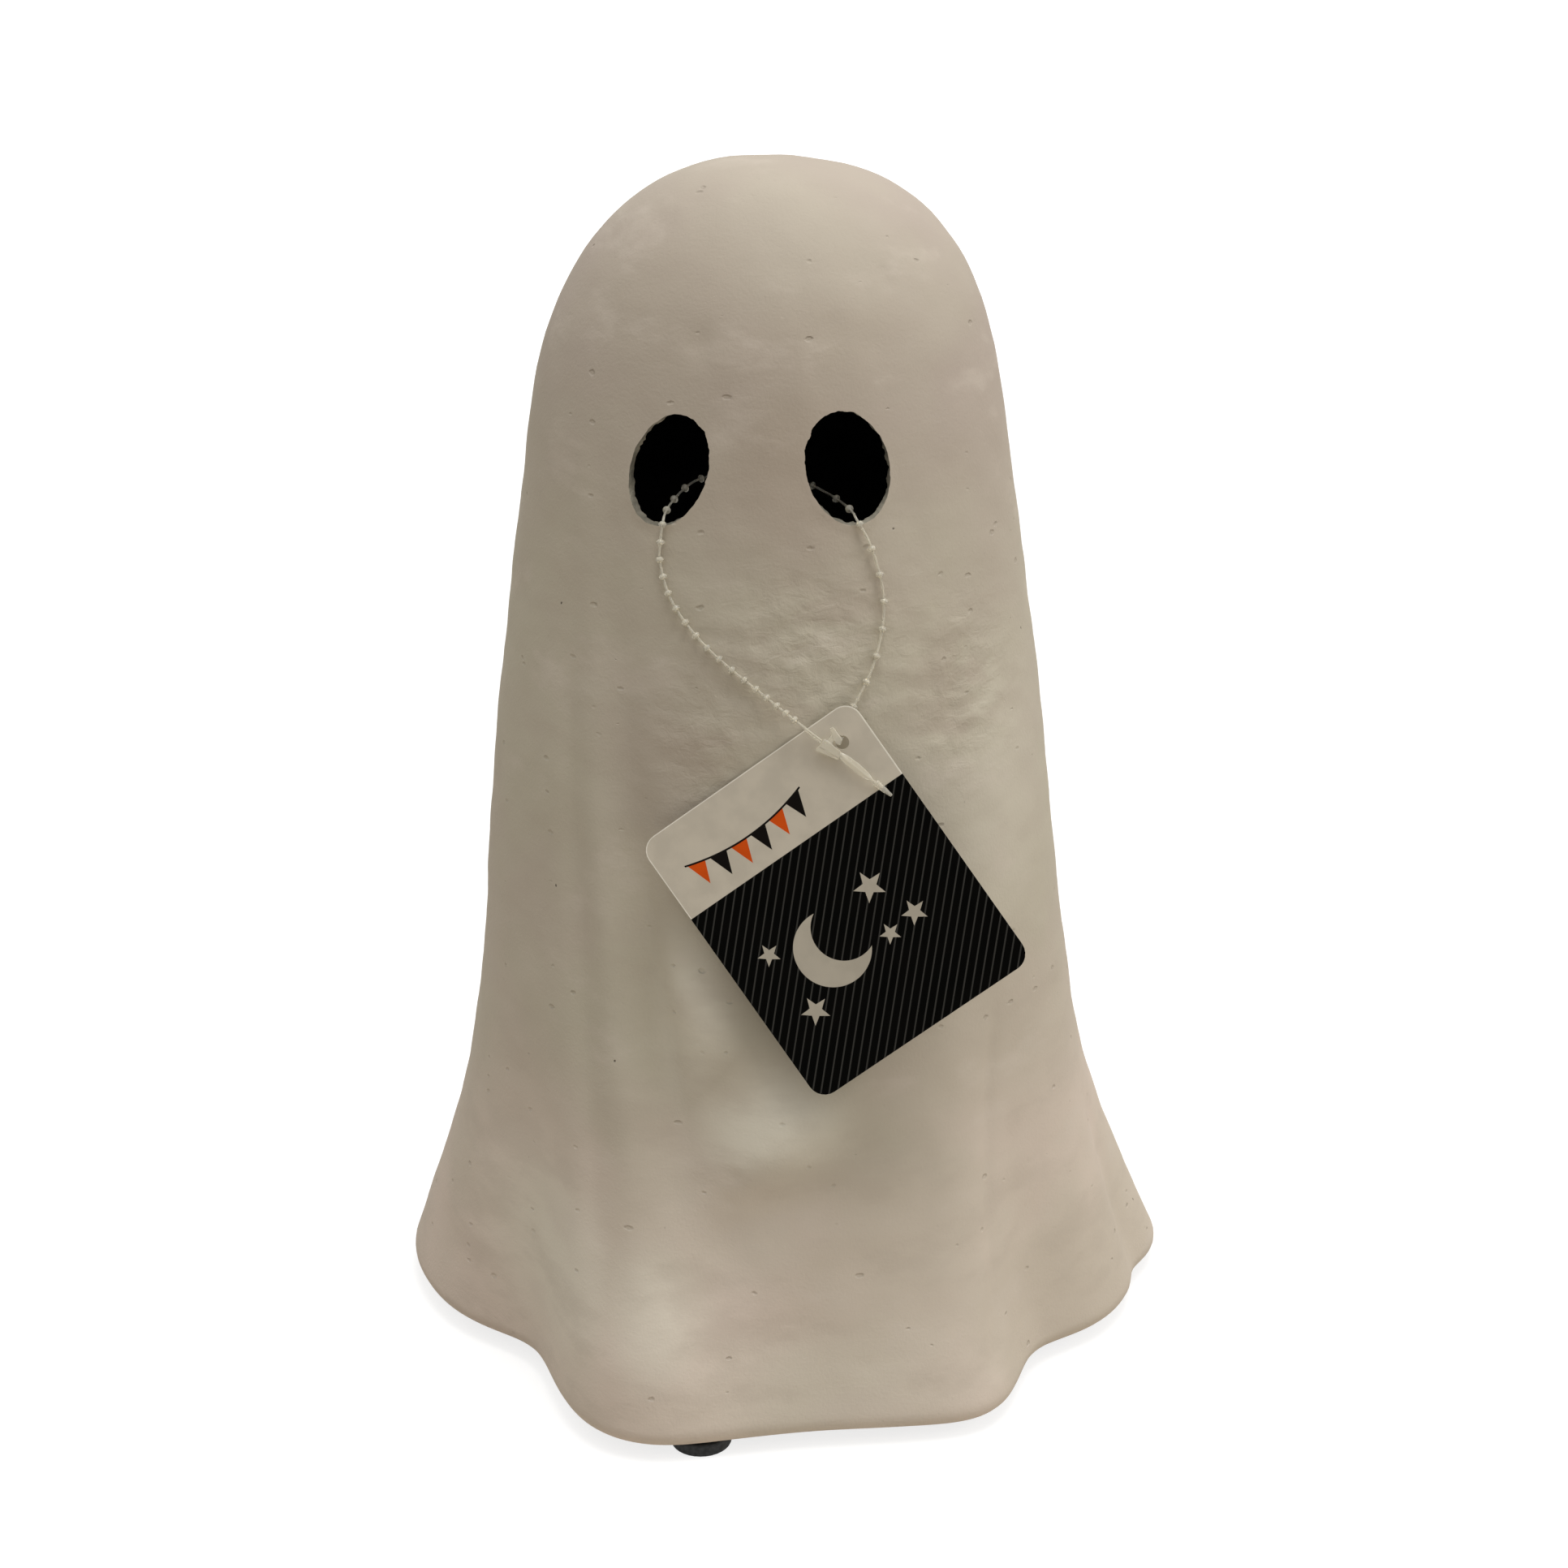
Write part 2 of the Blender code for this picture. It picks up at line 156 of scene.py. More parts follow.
def newGroup(name, vectors, numbers, results):
    # a node group with its named inputs, vectors first, and its named number outputs
    group = bpy.data.node_groups.new(name, "ShaderNodeTree")
    sides = ((vectors, "INPUT", "Vector"), (numbers, "INPUT", "Float"), (results, "OUTPUT", "Float"))
    for names, way, kind in sides:
        for socket in names:
            group.interface.new_socket(socket, in_out=way, socket_type="NodeSocket" + kind)
    return group, group.nodes.new("NodeGroupInput").outputs, group.nodes.new("NodeGroupOutput").inputs


def newMaterial(name, colour, roughness, gloss=0.5):
    material = bpy.data.materials.new(name)
    material.use_nodes = True
    surface = material.node_tree.nodes["Principled BSDF"]
    surface.inputs["Base Color"].default_value = colour
    surface.inputs["Roughness"].default_value = roughness
    surface.inputs["Specular IOR Level"].default_value = gloss
    return material, material.node_tree, surface


def roughen(tree, surface, pattern, least, most):
    # roughness that follows a noise pattern
    tree.links.new(ramp(tree, pattern, 0.3, 0.7, least, most), surface.inputs["Roughness"])


def addBump(tree, surface, height, distance=0.001):
    # the height is in millimetres, or in the distance given
    bump = addNode(tree, "Bump", {"Height": height, "Distance": distance})
    tree.links.new(bump.outputs[0], surface.inputs["Normal"])


# Camera, at the photograph's angle

view = {
    "elevation": 20.0,
    "distance": 0.7,
    "aimLevel": 0.1503,
    "sideStep": -0.0005,
    "lens": 58.53,
    "sensor": 36.0,
}


def addCamera():
    camera = bpy.data.cameras.new("camera")
    camera.lens = view["lens"]
    camera.sensor_width = view["sensor"]
    camera.clip_start = 0.01
    holder = linkPiece("camera", camera)
    rise = math.radians(view["elevation"])
    holder.location = (view["sideStep"], -view["distance"] * math.cos(rise),
                       view["aimLevel"] + view["distance"] * math.sin(rise))
    holder.rotation_euler = (math.radians(90.0) - rise, 0.0, 0.0)
    bpy.context.scene.camera = holder


addCamera()
print("camera set")


# Form of the draped sheet, as in the solids: plain tapered form, then its folds and swells

form = {
    "height": shellHigh[2],
    "hemLevel": shellLow[2],
    "wall": 0.003,
    "shoulderLevel": 0.25,
    "shoulderHalfWidth": 0.0624,
    "shoulderHalfDepth": 0.056,
    "hemHalfWidth": 0.0948,
    "hemHalfDepth": 0.0908,
    "crownSquareness": 2.6,
    "flareReach": 0.0083,
    "flareLevel": 0.085,
    "chestReach": 0.0012,
    "chestLevel": 0.18,
    "chestSpread": 0.035,
    "headLean": 0.0052,
    "leanLevel": 0.1,
    "crownShift": 0.0022,
    "hemRoll": 0.005,
    "hemLip": 0.014,
    "foldFade": 1.5,
}
# each fold runs from the hem up and fades out: azimuth at the hem and at the top, spread, reach, top
folds = {
    "leftLobe": (-95, -90, 14, 0.0092, 0.09),
    "leftNotch": (-52, -50, 9.5, -0.0112, 0.11),
    "frontLeftRidge": (-23, -42, 9.5, 0.01, 0.2),
    "frontHollow": (6, 6, 8, -0.0024, 0.06),
    "frontRightRidge": (31, 36, 7, 0.005, 0.09),
    "rightNotch": (51, 50, 8.5, -0.0105, 0.125),
    "rightCrease": (82, 80, 3.5, -0.003, 0.07),
    "rightLobe": (97, 90, 11, 0.0102, 0.09),
    "backRightNotch": (123, 120, 9, -0.009, 0.12),
    "backRightLobe": (149, 143, 11, 0.0085, 0.15),
    "backNotch": (177, 175, 9, -0.0085, 0.13),
    "backLeftLobe": (-155, -148, 11, 0.009, 0.17),
    "backLeftNotch": (-127, -122, 9, -0.0095, 0.115),
}
# each swell: azimuth and level of its middle, drift in degrees a metre of rise, spread, reach,
# and how far it fades out above and below
swells = {
    "leftEdge": (-38.0, 0.125, -126, 3.5, -0.0022, 0.055, 0.06),
    "leftRidge": (-32.0, 0.12, -125, 4.5, 0.002, 0.06, 0.05),
    "innerGroove": (-24.0, 0.115, -140, 4.5, -0.0046, 0.055, 0.032),
    "innerRidge": (-11.0, 0.109, -500, 6, 0.0026, 0.018, 0.014),
    "bellySwell": (0.0, 0.08, 400, 7, 0.0056, 0.012, 0.012),
    "bellyHollow": (-9.0, 0.052, 350, 6, -0.0018, 0.02, 0.02),
    "footSwell": (-20.0, 0.024, 0, 8, 0.0036, 0.014, 0.01),
}
axisShift = Vector((0.0, 0.0))  # brings the middle of the form's box over the origin


def section(level):
    drop = (form["shoulderLevel"] - level) / form["shoulderLevel"]
    halfWidth = form["shoulderHalfWidth"] + (form["hemHalfWidth"] - form["shoulderHalfWidth"]) * drop
    halfDepth = form["shoulderHalfDepth"] + (form["hemHalfDepth"] - form["shoulderHalfDepth"]) * drop
    flare = form["flareReach"] * max(0.0, 1.0 - level / form["flareLevel"]) ** form["foldFade"]
    chest = (level - form["chestLevel"]) / form["chestSpread"]
    flare += form["chestReach"] * math.exp(-0.5 * chest ** 2)
    crown = 1.0
    if level > form["shoulderLevel"]:
        rise = min(1.0, (level - form["shoulderLevel"]) / (form["height"] - form["shoulderLevel"]))
        crown = (1.0 - rise ** form["crownSquareness"]) ** (1.0 / form["crownSquareness"])
    return (halfWidth + flare) * crown, (halfDepth + flare) * crown


def bell(azimuth, centre, spread):
    away = (azimuth - centre + 180.0) % 360.0 - 180.0
    return math.exp(-0.5 * (away / spread) ** 2)


def foldRelief(azimuth, level):
    out = 0.0
    for foot, head, spread, reach, top in folds.values():
        rise = level / top
        if rise < 1.0:
            centre = foot + (head - foot) * rise
            out += reach * (1.0 - rise) ** form["foldFade"] * bell(azimuth, centre, spread)
    for middle, middleLevel, drift, spread, reach, above, below in swells.values():
        height = level - middleLevel
        fade = math.exp(-0.5 * (height / (above if height > 0.0 else below)) ** 2)
        out += reach * fade * bell(azimuth, middle + drift * height, spread)
    return out


def mouldPoint(azimuth, level, inset=0.0):
    halfWidth, halfDepth = section(level)
    side = math.sin(math.radians(azimuth))
    front = math.cos(math.radians(azimuth))
    radius = 0.0
    if halfWidth * halfDepth > 1e-9:
        radius = 1.0 / math.hypot(side / halfWidth, front / halfDepth)
        radius += foldRelief(azimuth, level) - inset
    rise = max(0.0, (level - form["shoulderLevel"]) / (form["height"] - form["shoulderLevel"]))
    lean = form["headLean"] * (1.0 - math.exp(-level / form["leanLevel"])) - form["crownShift"] * rise ** 2
    return Vector((axisShift.x - lean + radius * side, axisShift.y - radius * front, level))


def centreForm():
    # the same box that the solids' points fill: every 5 degrees, round the widest level
    ring = [mouldPoint(5.0 * step, form["hemLevel"] + form["hemRoll"]) for step in range(72)]
    for axis in (0, 1):
        places = [point[axis] for point in ring]
        axisShift[axis] = 0.5 * (shellLow[axis] + shellHigh[axis] - min(places) - max(places))


def facePoint(x, level, standOff):
    # point so far in front of the outer face, found by halving the range of azimuths
    low, high = -89.0, 89.0
    for _ in range(30):
        middle = 0.5 * (low + high)
        if mouldPoint(middle, level).x < x:
            low = middle
        else:
            high = middle
    return Vector((x, mouldPoint(low, level).y - standOff, level))


centreForm()


# Eye holes, cut through the wall square to the face

eyeHeight = 0.028
eyePitch = 8.0
# innerShift: how far the torn inner rim is dragged to the side
eyes = {
    "left": {"azimuth": -24.7, "level": 0.2497, "width": 0.02, "lean": 19.0, "innerShift": -0.0008},
    "right": {"azimuth": 20.3, "level": 0.2505, "width": 0.0215, "lean": -14.0, "innerShift": 0.001},
}
eyeCut = {
    "segments": 120,
    "outside": 0.012,  # how far the cutter stands out of the face, and goes in
    "inside": 0.016,
    "outerRag": 0.00022,
    "innerRag": 0.00075,
    "innerNarrowing": 0.0002,
    "ragSize": 0.0022,
    "lipHeight": 0.0003,
    "lipWidth": 0.0009,
    "lipNear": (0.03, 0.02),  # nowhere further from the hole's middle, or off its plane
    "lipTop": 0.35,
}


def eyeFrame(eye):
    # x and y in the plane of the hole, leaned with the oval, z out of the face
    upright = Matrix.Translation(mouldPoint(eye["azimuth"], eye["level"])) @ turned(eye["azimuth"], "Z")
    return upright @ turned(-eyePitch, "X") @ turned(90.0, "X") @ turned(-eye["lean"], "Z")


def eyeRimHeight(place):
    # soft burr that the knife left on the lower rims
    height = 0.0
    for eye in eyes.values():
        local = eye["unplace"] @ place
        if local.length < eyeCut["lipNear"][0] and abs(local.z) < eyeCut["lipNear"][1]:
            across = 2.0 * local.x / eye["width"]
            up = 2.0 * local.y / eyeHeight
            reach = math.hypot(across, up)
            away = (reach - 1.0) * 0.25 * (eye["width"] + eyeHeight)
            lower = max(0.0, eyeCut["lipTop"] - up / max(reach, 0.1))
            height += eyeCut["lipHeight"] * lower * math.exp(-(away / eyeCut["lipWidth"]) ** 2)
    return height


for eye in eyes.values():
    eye["place"] = eyeFrame(eye)
    eye["unplace"] = eye["place"].inverted()


# Hand-made relief of the papier: lumps of its layers, wrinkled patches, dents and crease lines

handRelief = {
    "lumpSize": 0.034,
    "lumpHeight": 0.00065,
    "knobSize": 0.0105,
    "knobHeight": 0.00026,
    "knobShift": Vector((7.0, 3.0, 1.0)),
    "wrinkleSize": 0.0062,
    "wrinkleStretch": 1.5,
    "wrinkleHeight": 0.00052,
    "wrinkleLeast": 0.12,  # share of the wrinkles that every place has
}
# rough patches of the chest: centre x and level, half width and half height, strength
roughPatches = [
    (-0.0195, 0.187, 0.013, 0.02, 1.0),
    (0.0075, 0.206, 0.022, 0.018, 1.0),
    (0.044, 0.193, 0.012, 0.02, 1.0),
]
# painted highlights where swells and ridges face the light, and painted shade on the nose and forehead,
# given in the same way
paintedHighlightPatches = [
    (-0.0045, 0.087, 0.016, 0.013, 1.0),
    (-0.064, 0.04, 0.016, 0.026, 0.75),
    (-0.034, 0.036, 0.012, 0.017, 0.6),
    (-0.023, 0.115, 0.008, 0.02, 0.75),
    (0.056, 0.165, 0.011, 0.03, 0.35),
    (-0.0135, 0.06, 0.016, 0.014, 0.35),
    (0.007, 0.016, 0.04, 0.014, 0.4),
]
# painted shade on the nose and the left forehead
paintedShadePatches = [
    (0.001, 0.25, 0.016, 0.022, 0.95),
    (-0.027, 0.288, 0.022, 0.022, 0.55),
    (0.0, 0.278, 0.026, 0.014, 0.55),
]
# dents: x, level, half width, half height, depth
dents = [
    (0.0243, 0.293, 0.0017, 0.001, 0.00085),
    (-0.0205, 0.2795, 0.003, 0.0022, 0.00055),
    (-0.0355, 0.2815, 0.0026, 0.0018, 0.0004),
    (-0.0225, 0.31, 0.003, 0.0014, 0.0003),
    (-0.0295, 0.306, 0.0034, 0.0016, 0.0003),
    (0.001, 0.2965, 0.006, 0.0016, 0.00035),
    (0.011, 0.282, 0.0028, 0.0028, 0.00025),
    (0.021, 0.279, 0.0026, 0.0018, 0.0003),
    (-0.0238, 0.1975, 0.0013, 0.0013, 0.0006),
    (-0.013, 0.074, 0.0022, 0.0014, 0.00045),
    (-0.0145, 0.0665, 0.0018, 0.0012, 0.0004),
]
# crease lines: azimuth and level at each end, width in degrees, depth
creases = [
    (-50.0, 0.205, -31.0, 0.05, 1.5, 0.00045),
    (49.5, 0.118, 35.0, 0.012, 1.3, 0.0009),
    (48.0, 0.205, 39.0, 0.182, 1.8, 0.0006),
    (-30.0, 0.165, -16.0, 0.076, 2.0, 0.0006),
    (79.0, 0.066, 81.0, 0.006, 1.6, 0.0009),
]


def patchAway(place, level, patch):
    # squared distance from a patch's middle, in its own half width and height
    x, middle, halfWidth, halfHeight = patch[:4]
    return ((place.x - x) / halfWidth) ** 2 + ((level - middle) / halfHeight) ** 2


def handMadeHeight(place, azimuth, level):
    look = handRelief
    height = look["lumpHeight"] * noise.noise(place / look["lumpSize"])
    height += look["knobHeight"] * noise.noise(place / look["knobSize"] + look["knobShift"])
    rough = look["wrinkleLeast"]
    if place.y < 0.0:
        for patch in roughPatches:
            rough += patch[-1] * (1.0 - look["wrinkleLeast"]) * math.exp(-patchAway(place, level, patch))
        for dent in dents:
            away = patchAway(place, level, dent)
            if away < 9.0:
                height -= dent[-1] * math.exp(-away)
    stretched = Vector((place.x, place.y, place.z * look["wrinkleStretch"]))
    wrinkle = noise.fractal(stretched / look["wrinkleSize"], 0.8, 2.1, 3)
    height += look["wrinkleHeight"] * rough * wrinkle
    for startAzimuth, startLevel, endAzimuth, endLevel, width, depth in creases:
        along = (level - startLevel) / (endLevel - startLevel)
        if 0.0 < along < 1.0:
            centre = startAzimuth + (endAzimuth - startAzimuth) * along
            fade = min(1.0, 4.0 * along, 6.0 * (1.0 - along) + 0.5)  # soft start, blunter end
            height -= depth * fade * bell(azimuth, centre, width)
    return height


# Grain of papier, a shader group that its three materials share. Scales are in cells a metre,
# heights and depths in millimetres, and a flatness squeezes a pattern in x, y and z.

grainLook = {
    "fibreScale": 1300.0,
    "fibreHeight": 0.075,
    "wrinkleScale": 210.0,
    "wrinkleFlatness": (1.0, 1.0, 1.5),
    "wrinkleHeight": 0.6,
    "bendScale": 420.0,
    "bend": (0.0011, 0.0011, 0.0011),
    "nickScale": 150.0,
    "nickFlatness": (1.0, 1.0, 1.7),
    "nickChance": (0.66, 1.0),
    "nickSize": 0.17,
    "nickLeast": 0.004,
    "nickSoftness": (-0.07, 0.05),
    "nickDepth": 0.26,
    "speckScale": 62.0,
    "speckChance": 0.62,
    "speckReach": (0.012, 0.03),
    "speckDepth": 0.1,
    "mottleScale": 30.0,
    "mottleFlatness": (1.0, 1.0, 2.3),
}


def papierGrainGroup():
    # a height in millimetres, masks of the nicks and specks, and a mottle for colour and gloss
    group, given, result = newGroup("papierGrain", ["Place"], ["Wrinkles"],
                                    ["Height", "Pits", "Specks", "Mottle"])
    look = grainLook
    place = given["Place"]
    fibres = noiseOn(group, place, look["fibreScale"], 3.0)
    squeezed = vectorMaths(group, "MULTIPLY", place, look["wrinkleFlatness"])
    wrinkles = noiseOn(group, squeezed, look["wrinkleScale"], 4.0, 0.6, 0.5)
    wrinkleHeight = times(group, minus(group, wrinkles, 0.5),
                          times(group, given["Wrinkles"], look["wrinkleHeight"]))

    # sparse nicks, wider than they are tall: cells of about 7 mm, of which one in three holds a nick
    bend = addNode(group, "TexNoise",
                   {"Vector": place, "Scale": look["bendScale"], "Detail": 2.0}).outputs["Color"]
    bentPlace = vectorMaths(group, "MULTIPLY_ADD", bend, look["bend"], place)
    flatPlace = vectorMaths(group, "MULTIPLY", bentPlace, look["nickFlatness"])
    away, chance = cellsOn(group, flatPlace, look["nickScale"])
    nickSize = ramp(group, chance[0], *look["nickChance"], 0.0, look["nickSize"])
    nicks = times(group, maths(group, "GREATER_THAN", nickSize, look["nickLeast"]),
                  ramp(group, minus(group, away, nickSize), *look["nickSoftness"], 1.0, 0.0))

    away, chance = cellsOn(group, bentPlace, look["speckScale"])
    specks = times(group, maths(group, "GREATER_THAN", chance[1], look["speckChance"]),
                   ramp(group, away, *look["speckReach"], 1.0, 0.0))

    streaked = vectorMaths(group, "MULTIPLY", place, look["mottleFlatness"])
    mottle = noiseOn(group, streaked, look["mottleScale"], 6.0, 0.6)
    height = times(group, minus(group, fibres, 0.5), look["fibreHeight"])
    height = maths(group, "ADD", height, wrinkleHeight)
    height = maths(group, "MULTIPLY_ADD", nicks, -look["nickDepth"], height)
    height = maths(group, "MULTIPLY_ADD", specks, -look["speckDepth"], height)
    for name, value in (("Height", height), ("Pits", nicks), ("Specks", specks), ("Mottle", mottle)):
        group.links.new(value, result[name])
    return group


papierGrain = papierGrainGroup()


def grainNode(tree, place, wrinkles):
    return addNode(tree, "Group", {"Place": place, "Wrinkles": wrinkles}, node_tree=papierGrain).outputs


papierLook = {
    "crown": screenColour(181, 168, 155),
    "olive": screenColour(189, 181, 162),
    # painted bounce light: the hem paler and pinker towards the bottom
    "paintedBounceLight": screenColour(212, 197, 182),
    # darker tone: the random mottle, and the colour of the painted shade patches
    "shade": screenColour(176, 163, 147),
    "worn": screenColour(208, 197, 183),
    # painted highlight colour of the swells and ridges that face the light
    "paintedHighlight": screenColour(220, 213, 196),
    # painted shade darkening the nicks a little
    "nickShade": screenColour(120, 109, 90),
    "speck": screenColour(52, 42, 32),
    # raw pulp of the eyes' cut walls, darkened in part as painted shade of the cut face
    "cutEdge": screenColour(104, 100, 87),
    "insideBlack": screenColour(6, 6, 6),
    "roughness": (0.74, 0.9),
    "insideRoughness": (0.82, 0.96),
    "patchFade": (0.2, 1.7),  # from full to nothing, in half widths from a patch's middle
    "frontFade": (-0.02, 0.0),
    "bounceLightFade": (0.03, 0.18),
    "oliveRise": (0.055, 0.095),
    "oliveFall": (0.215, 0.275),
    "oliveShare": 0.5,
    "wornShare": 0.4,
    "nickShadeShare": 0.14,
    "speckShare": 0.85,
    # what the rough patches add, and what is everywhere
    "wrinkles": (0.65, 0.14),
    "shadeShare": (0.45, 0.26),
}


def patchMask(tree, place, patches):
    # strongest in the middle of each patch of the front, 0 away from them
    total = None
    x, y, z = apartOf(tree, place)
    flat = addNode(tree, "CombineXYZ", {0: x, 1: 0.0, 2: z}).outputs[0]
    for middle, level, halfWidth, halfHeight, strength in patches:
        centred = vectorMaths(tree, "SUBTRACT", flat, (middle, 0.0, level))
        scaled = vectorMaths(tree, "MULTIPLY", centred, (1.0 / halfWidth, 0.0, 1.0 / halfHeight))
        mask = ramp(tree, vectorMaths(tree, "LENGTH", scaled), *papierLook["patchFade"], strength, 0.0)
        total = mask if total is None else maths(tree, "MAXIMUM", total, mask)
    return times(tree, total, ramp(tree, y, *papierLook["frontFade"], 1.0, 0.0))


def papierMaterial():
    look = papierLook
    material, tree, surface = newMaterial("papier", look["crown"], 0.82, gloss=0.28)
    place = objectPlace(tree)
    rough = patchMask(tree, place, roughPatches)
    grain = grainNode(tree, place, maths(tree, "MULTIPLY_ADD", rough, *look["wrinkles"]))
    mottle = grain["Mottle"]
    broad = noiseOn(tree, place, 17.0, 3.0)
    level = apartOf(tree, place)[2]
    # the middle is a little greener than the crown, and the hem is painted paler and pinker, as painted
    # bounce light from below
    middle = times(tree, ramp(tree, level, *look["oliveRise"]),
                   ramp(tree, level, *look["oliveFall"], 1.0, 0.0))
    olive = maths(tree, "MULTIPLY_ADD", middle, look["oliveShare"],
                  ramp(tree, broad, 0.36, 0.64, 0.0, look["oliveShare"]))
    shade = times(tree, ramp(tree, mottle, 0.34, 0.54, 1.0, 0.0),
                  maths(tree, "MULTIPLY_ADD", rough, *look["shadeShare"]))
    coats = (
        (ramp(tree, level, *look["bounceLightFade"], 1.0, 0.0), "paintedBounceLight"),
        (olive, "olive"),
        # painted highlights on the lit swells and ridges, then painted shade on the nose and forehead
        (patchMask(tree, place, paintedHighlightPatches), "paintedHighlight"),
        (patchMask(tree, place, paintedShadePatches), "shade"),
        (shade, "shade"),
        (ramp(tree, mottle, 0.54, 0.72, 0.0, look["wornShare"]), "worn"),
        # painted shade in the nicks
        (times(tree, grain["Pits"], look["nickShadeShare"]), "nickShade"),
        (times(tree, grain["Specks"], look["speckShare"]), "speck"),
    )
    colour = look["crown"]
    for share, coat in coats:
        colour = blendColour(tree, share, colour, look[coat])
    tree.links.new(colour, surface.inputs["Base Color"])
    roughen(tree, surface, mottle, *look["roughness"])
    addBump(tree, surface, grain["Height"])
    return material


def cutEdgeMaterial():
    material, tree, surface = newMaterial("papier_cut_edge", papierLook["cutEdge"], 0.9)
    grain = grainNode(tree, objectPlace(tree), 1.0)
    layers = ramp(tree, grain["Mottle"], 0.35, 0.65)
    # raw pulp darkened in part as painted shade, mottled with the olive
    colour = blendColour(tree, layers, papierLook["cutEdge"], papierLook["olive"])
    tree.links.new(colour, surface.inputs["Base Color"])
    addBump(tree, surface, grain["Height"])
    return material


def insideBlackMaterial():
    material, tree, surface = newMaterial("inside_black", papierLook["insideBlack"], 0.9, gloss=0.15)
    grain = grainNode(tree, objectPlace(tree), 0.8)
    roughen(tree, surface, grain["Mottle"], *papierLook["insideRoughness"])
    addBump(tree, surface, grain["Height"])
    return material


# Shell: rows of points down the outside, round the rolled hem and up the inside, spun round

shellRows = {"crown": 34, "side": 165, "roll": 6, "innerSide": 34, "innerCrown": 12}
shellAround = 250
frontCrowding = 0.42  # how much closer the points stand in front than at the back


def shellRowList():
    # each row is the level, the inset of the outer face, and whether it lies inside the wall
    rows = []
    shoulder, top = form["shoulderLevel"], form["height"]
    bottom = form["hemLevel"] + form["hemRoll"]
    for step in range(shellRows["crown"], 0, -1):
        rise = math.sin(0.5 * math.pi * step / shellRows["crown"])
        rows.append((shoulder + (top - shoulder) * rise, 0.0, False))
    for step in range(shellRows["side"] + 1):
        rows.append((shoulder + (bottom - shoulder) * step / shellRows["side"], 0.0, False))
    for step in range(1, shellRows["roll"] + 1):
        turn = 0.5 * math.pi * step / shellRows["roll"]
        inset = form["hemRoll"] * (1.0 - math.cos(turn))
        rows.append((bottom - form["hemRoll"] * math.sin(turn), inset, False))
    # under the lip to its edge, and back over it
    wall = form["wall"]
    for rise, reach in ((0.0, 0.5), (0.0, 1.0), (wall, 1.0), (wall, 0.5), (wall, 0.0)):
        rows.append((form["hemLevel"] + rise, form["hemRoll"] + reach * form["hemLip"], False))
    for step in range(shellRows["innerSide"] + 1):
        rows.append((bottom + (shoulder - bottom) * step / shellRows["innerSide"], 0.0, True))
    for step in range(1, shellRows["innerCrown"] + 1):
        rise = math.sin(0.5 * math.pi * step / shellRows["innerCrown"])
        rows.append((shoulder + (top - shoulder) * rise, 0.0, True))
    return rows


def outward(azimuth, level):
    # the outer face's own direction there
    step, turn = 0.0004, 0.3
    high = min(level + step, form["height"] - 1e-6)
    low = high - 2.0 * step
    around = mouldPoint(azimuth + turn, level) - mouldPoint(azimuth - turn, level)
    up = mouldPoint(azimuth, high) - mouldPoint(azimuth, low)
    across = around.cross(up)
    if across.length < 1e-12:
        return Vector((0.0, 0.0, 1.0))
    return across.normalized()


def shellPoint(azimuth, row):
    level, inset, inside = row
    place = mouldPoint(azimuth, level, inset)
    if level > form["height"] - 1e-5:
        direction = Vector((0.0, 0.0, 1.0))
    else:
        direction = outward(azimuth, level)
    if inside:
        return place - direction * form["wall"]
    if inset > 0.0:
        return place
    fade = min(1.0, (level - form["hemLevel"]) / (3.0 * form["hemRoll"]))
    return place + direction * (fade * handMadeHeight(place, azimuth, level) + eyeRimHeight(place))


def buildShell(materials):
    rows = shellRowList()
    bm = bmesh.new()
    chain = [bm.verts.new((0.0, -1.0, float(index))) for index in range(len(rows))]
    for lower, upper in zip(chain, chain[1:]):
        bm.edges.new((lower, upper))
    bmesh.ops.spin(bm, geom=bm.verts[:] + bm.edges[:], cent=(0, 0, 0), axis=(0, 0, 1), dvec=(0, 0, 0),
                   angle=2.0 * math.pi, steps=shellAround, use_merge=True)
    # the inside is near black from the upper side of the lip on
    lip = form["hemRoll"] + form["hemLip"]
    paintedFrom = max(index for index, row in enumerate(rows) if row[1] == lip)
    for face in bm.faces:
        if min(vert.co.z for vert in face.verts) > paintedFrom - 0.5:
            face.material_index = 1
    for vert in bm.verts:
        turn = math.atan2(vert.co.x, -vert.co.y)
        azimuth = math.degrees(turn - frontCrowding * math.sin(turn))
        vert.co = shellPoint(azimuth, rows[round(vert.co.z)])
    bmesh.ops.remove_doubles(bm, verts=bm.verts[:], dist=0.00001)
    bmesh.ops.recalc_face_normals(bm, faces=bm.faces[:])
    return linkPiece("papier_shell", meshFrom(bm, "papier_shell"), materials)


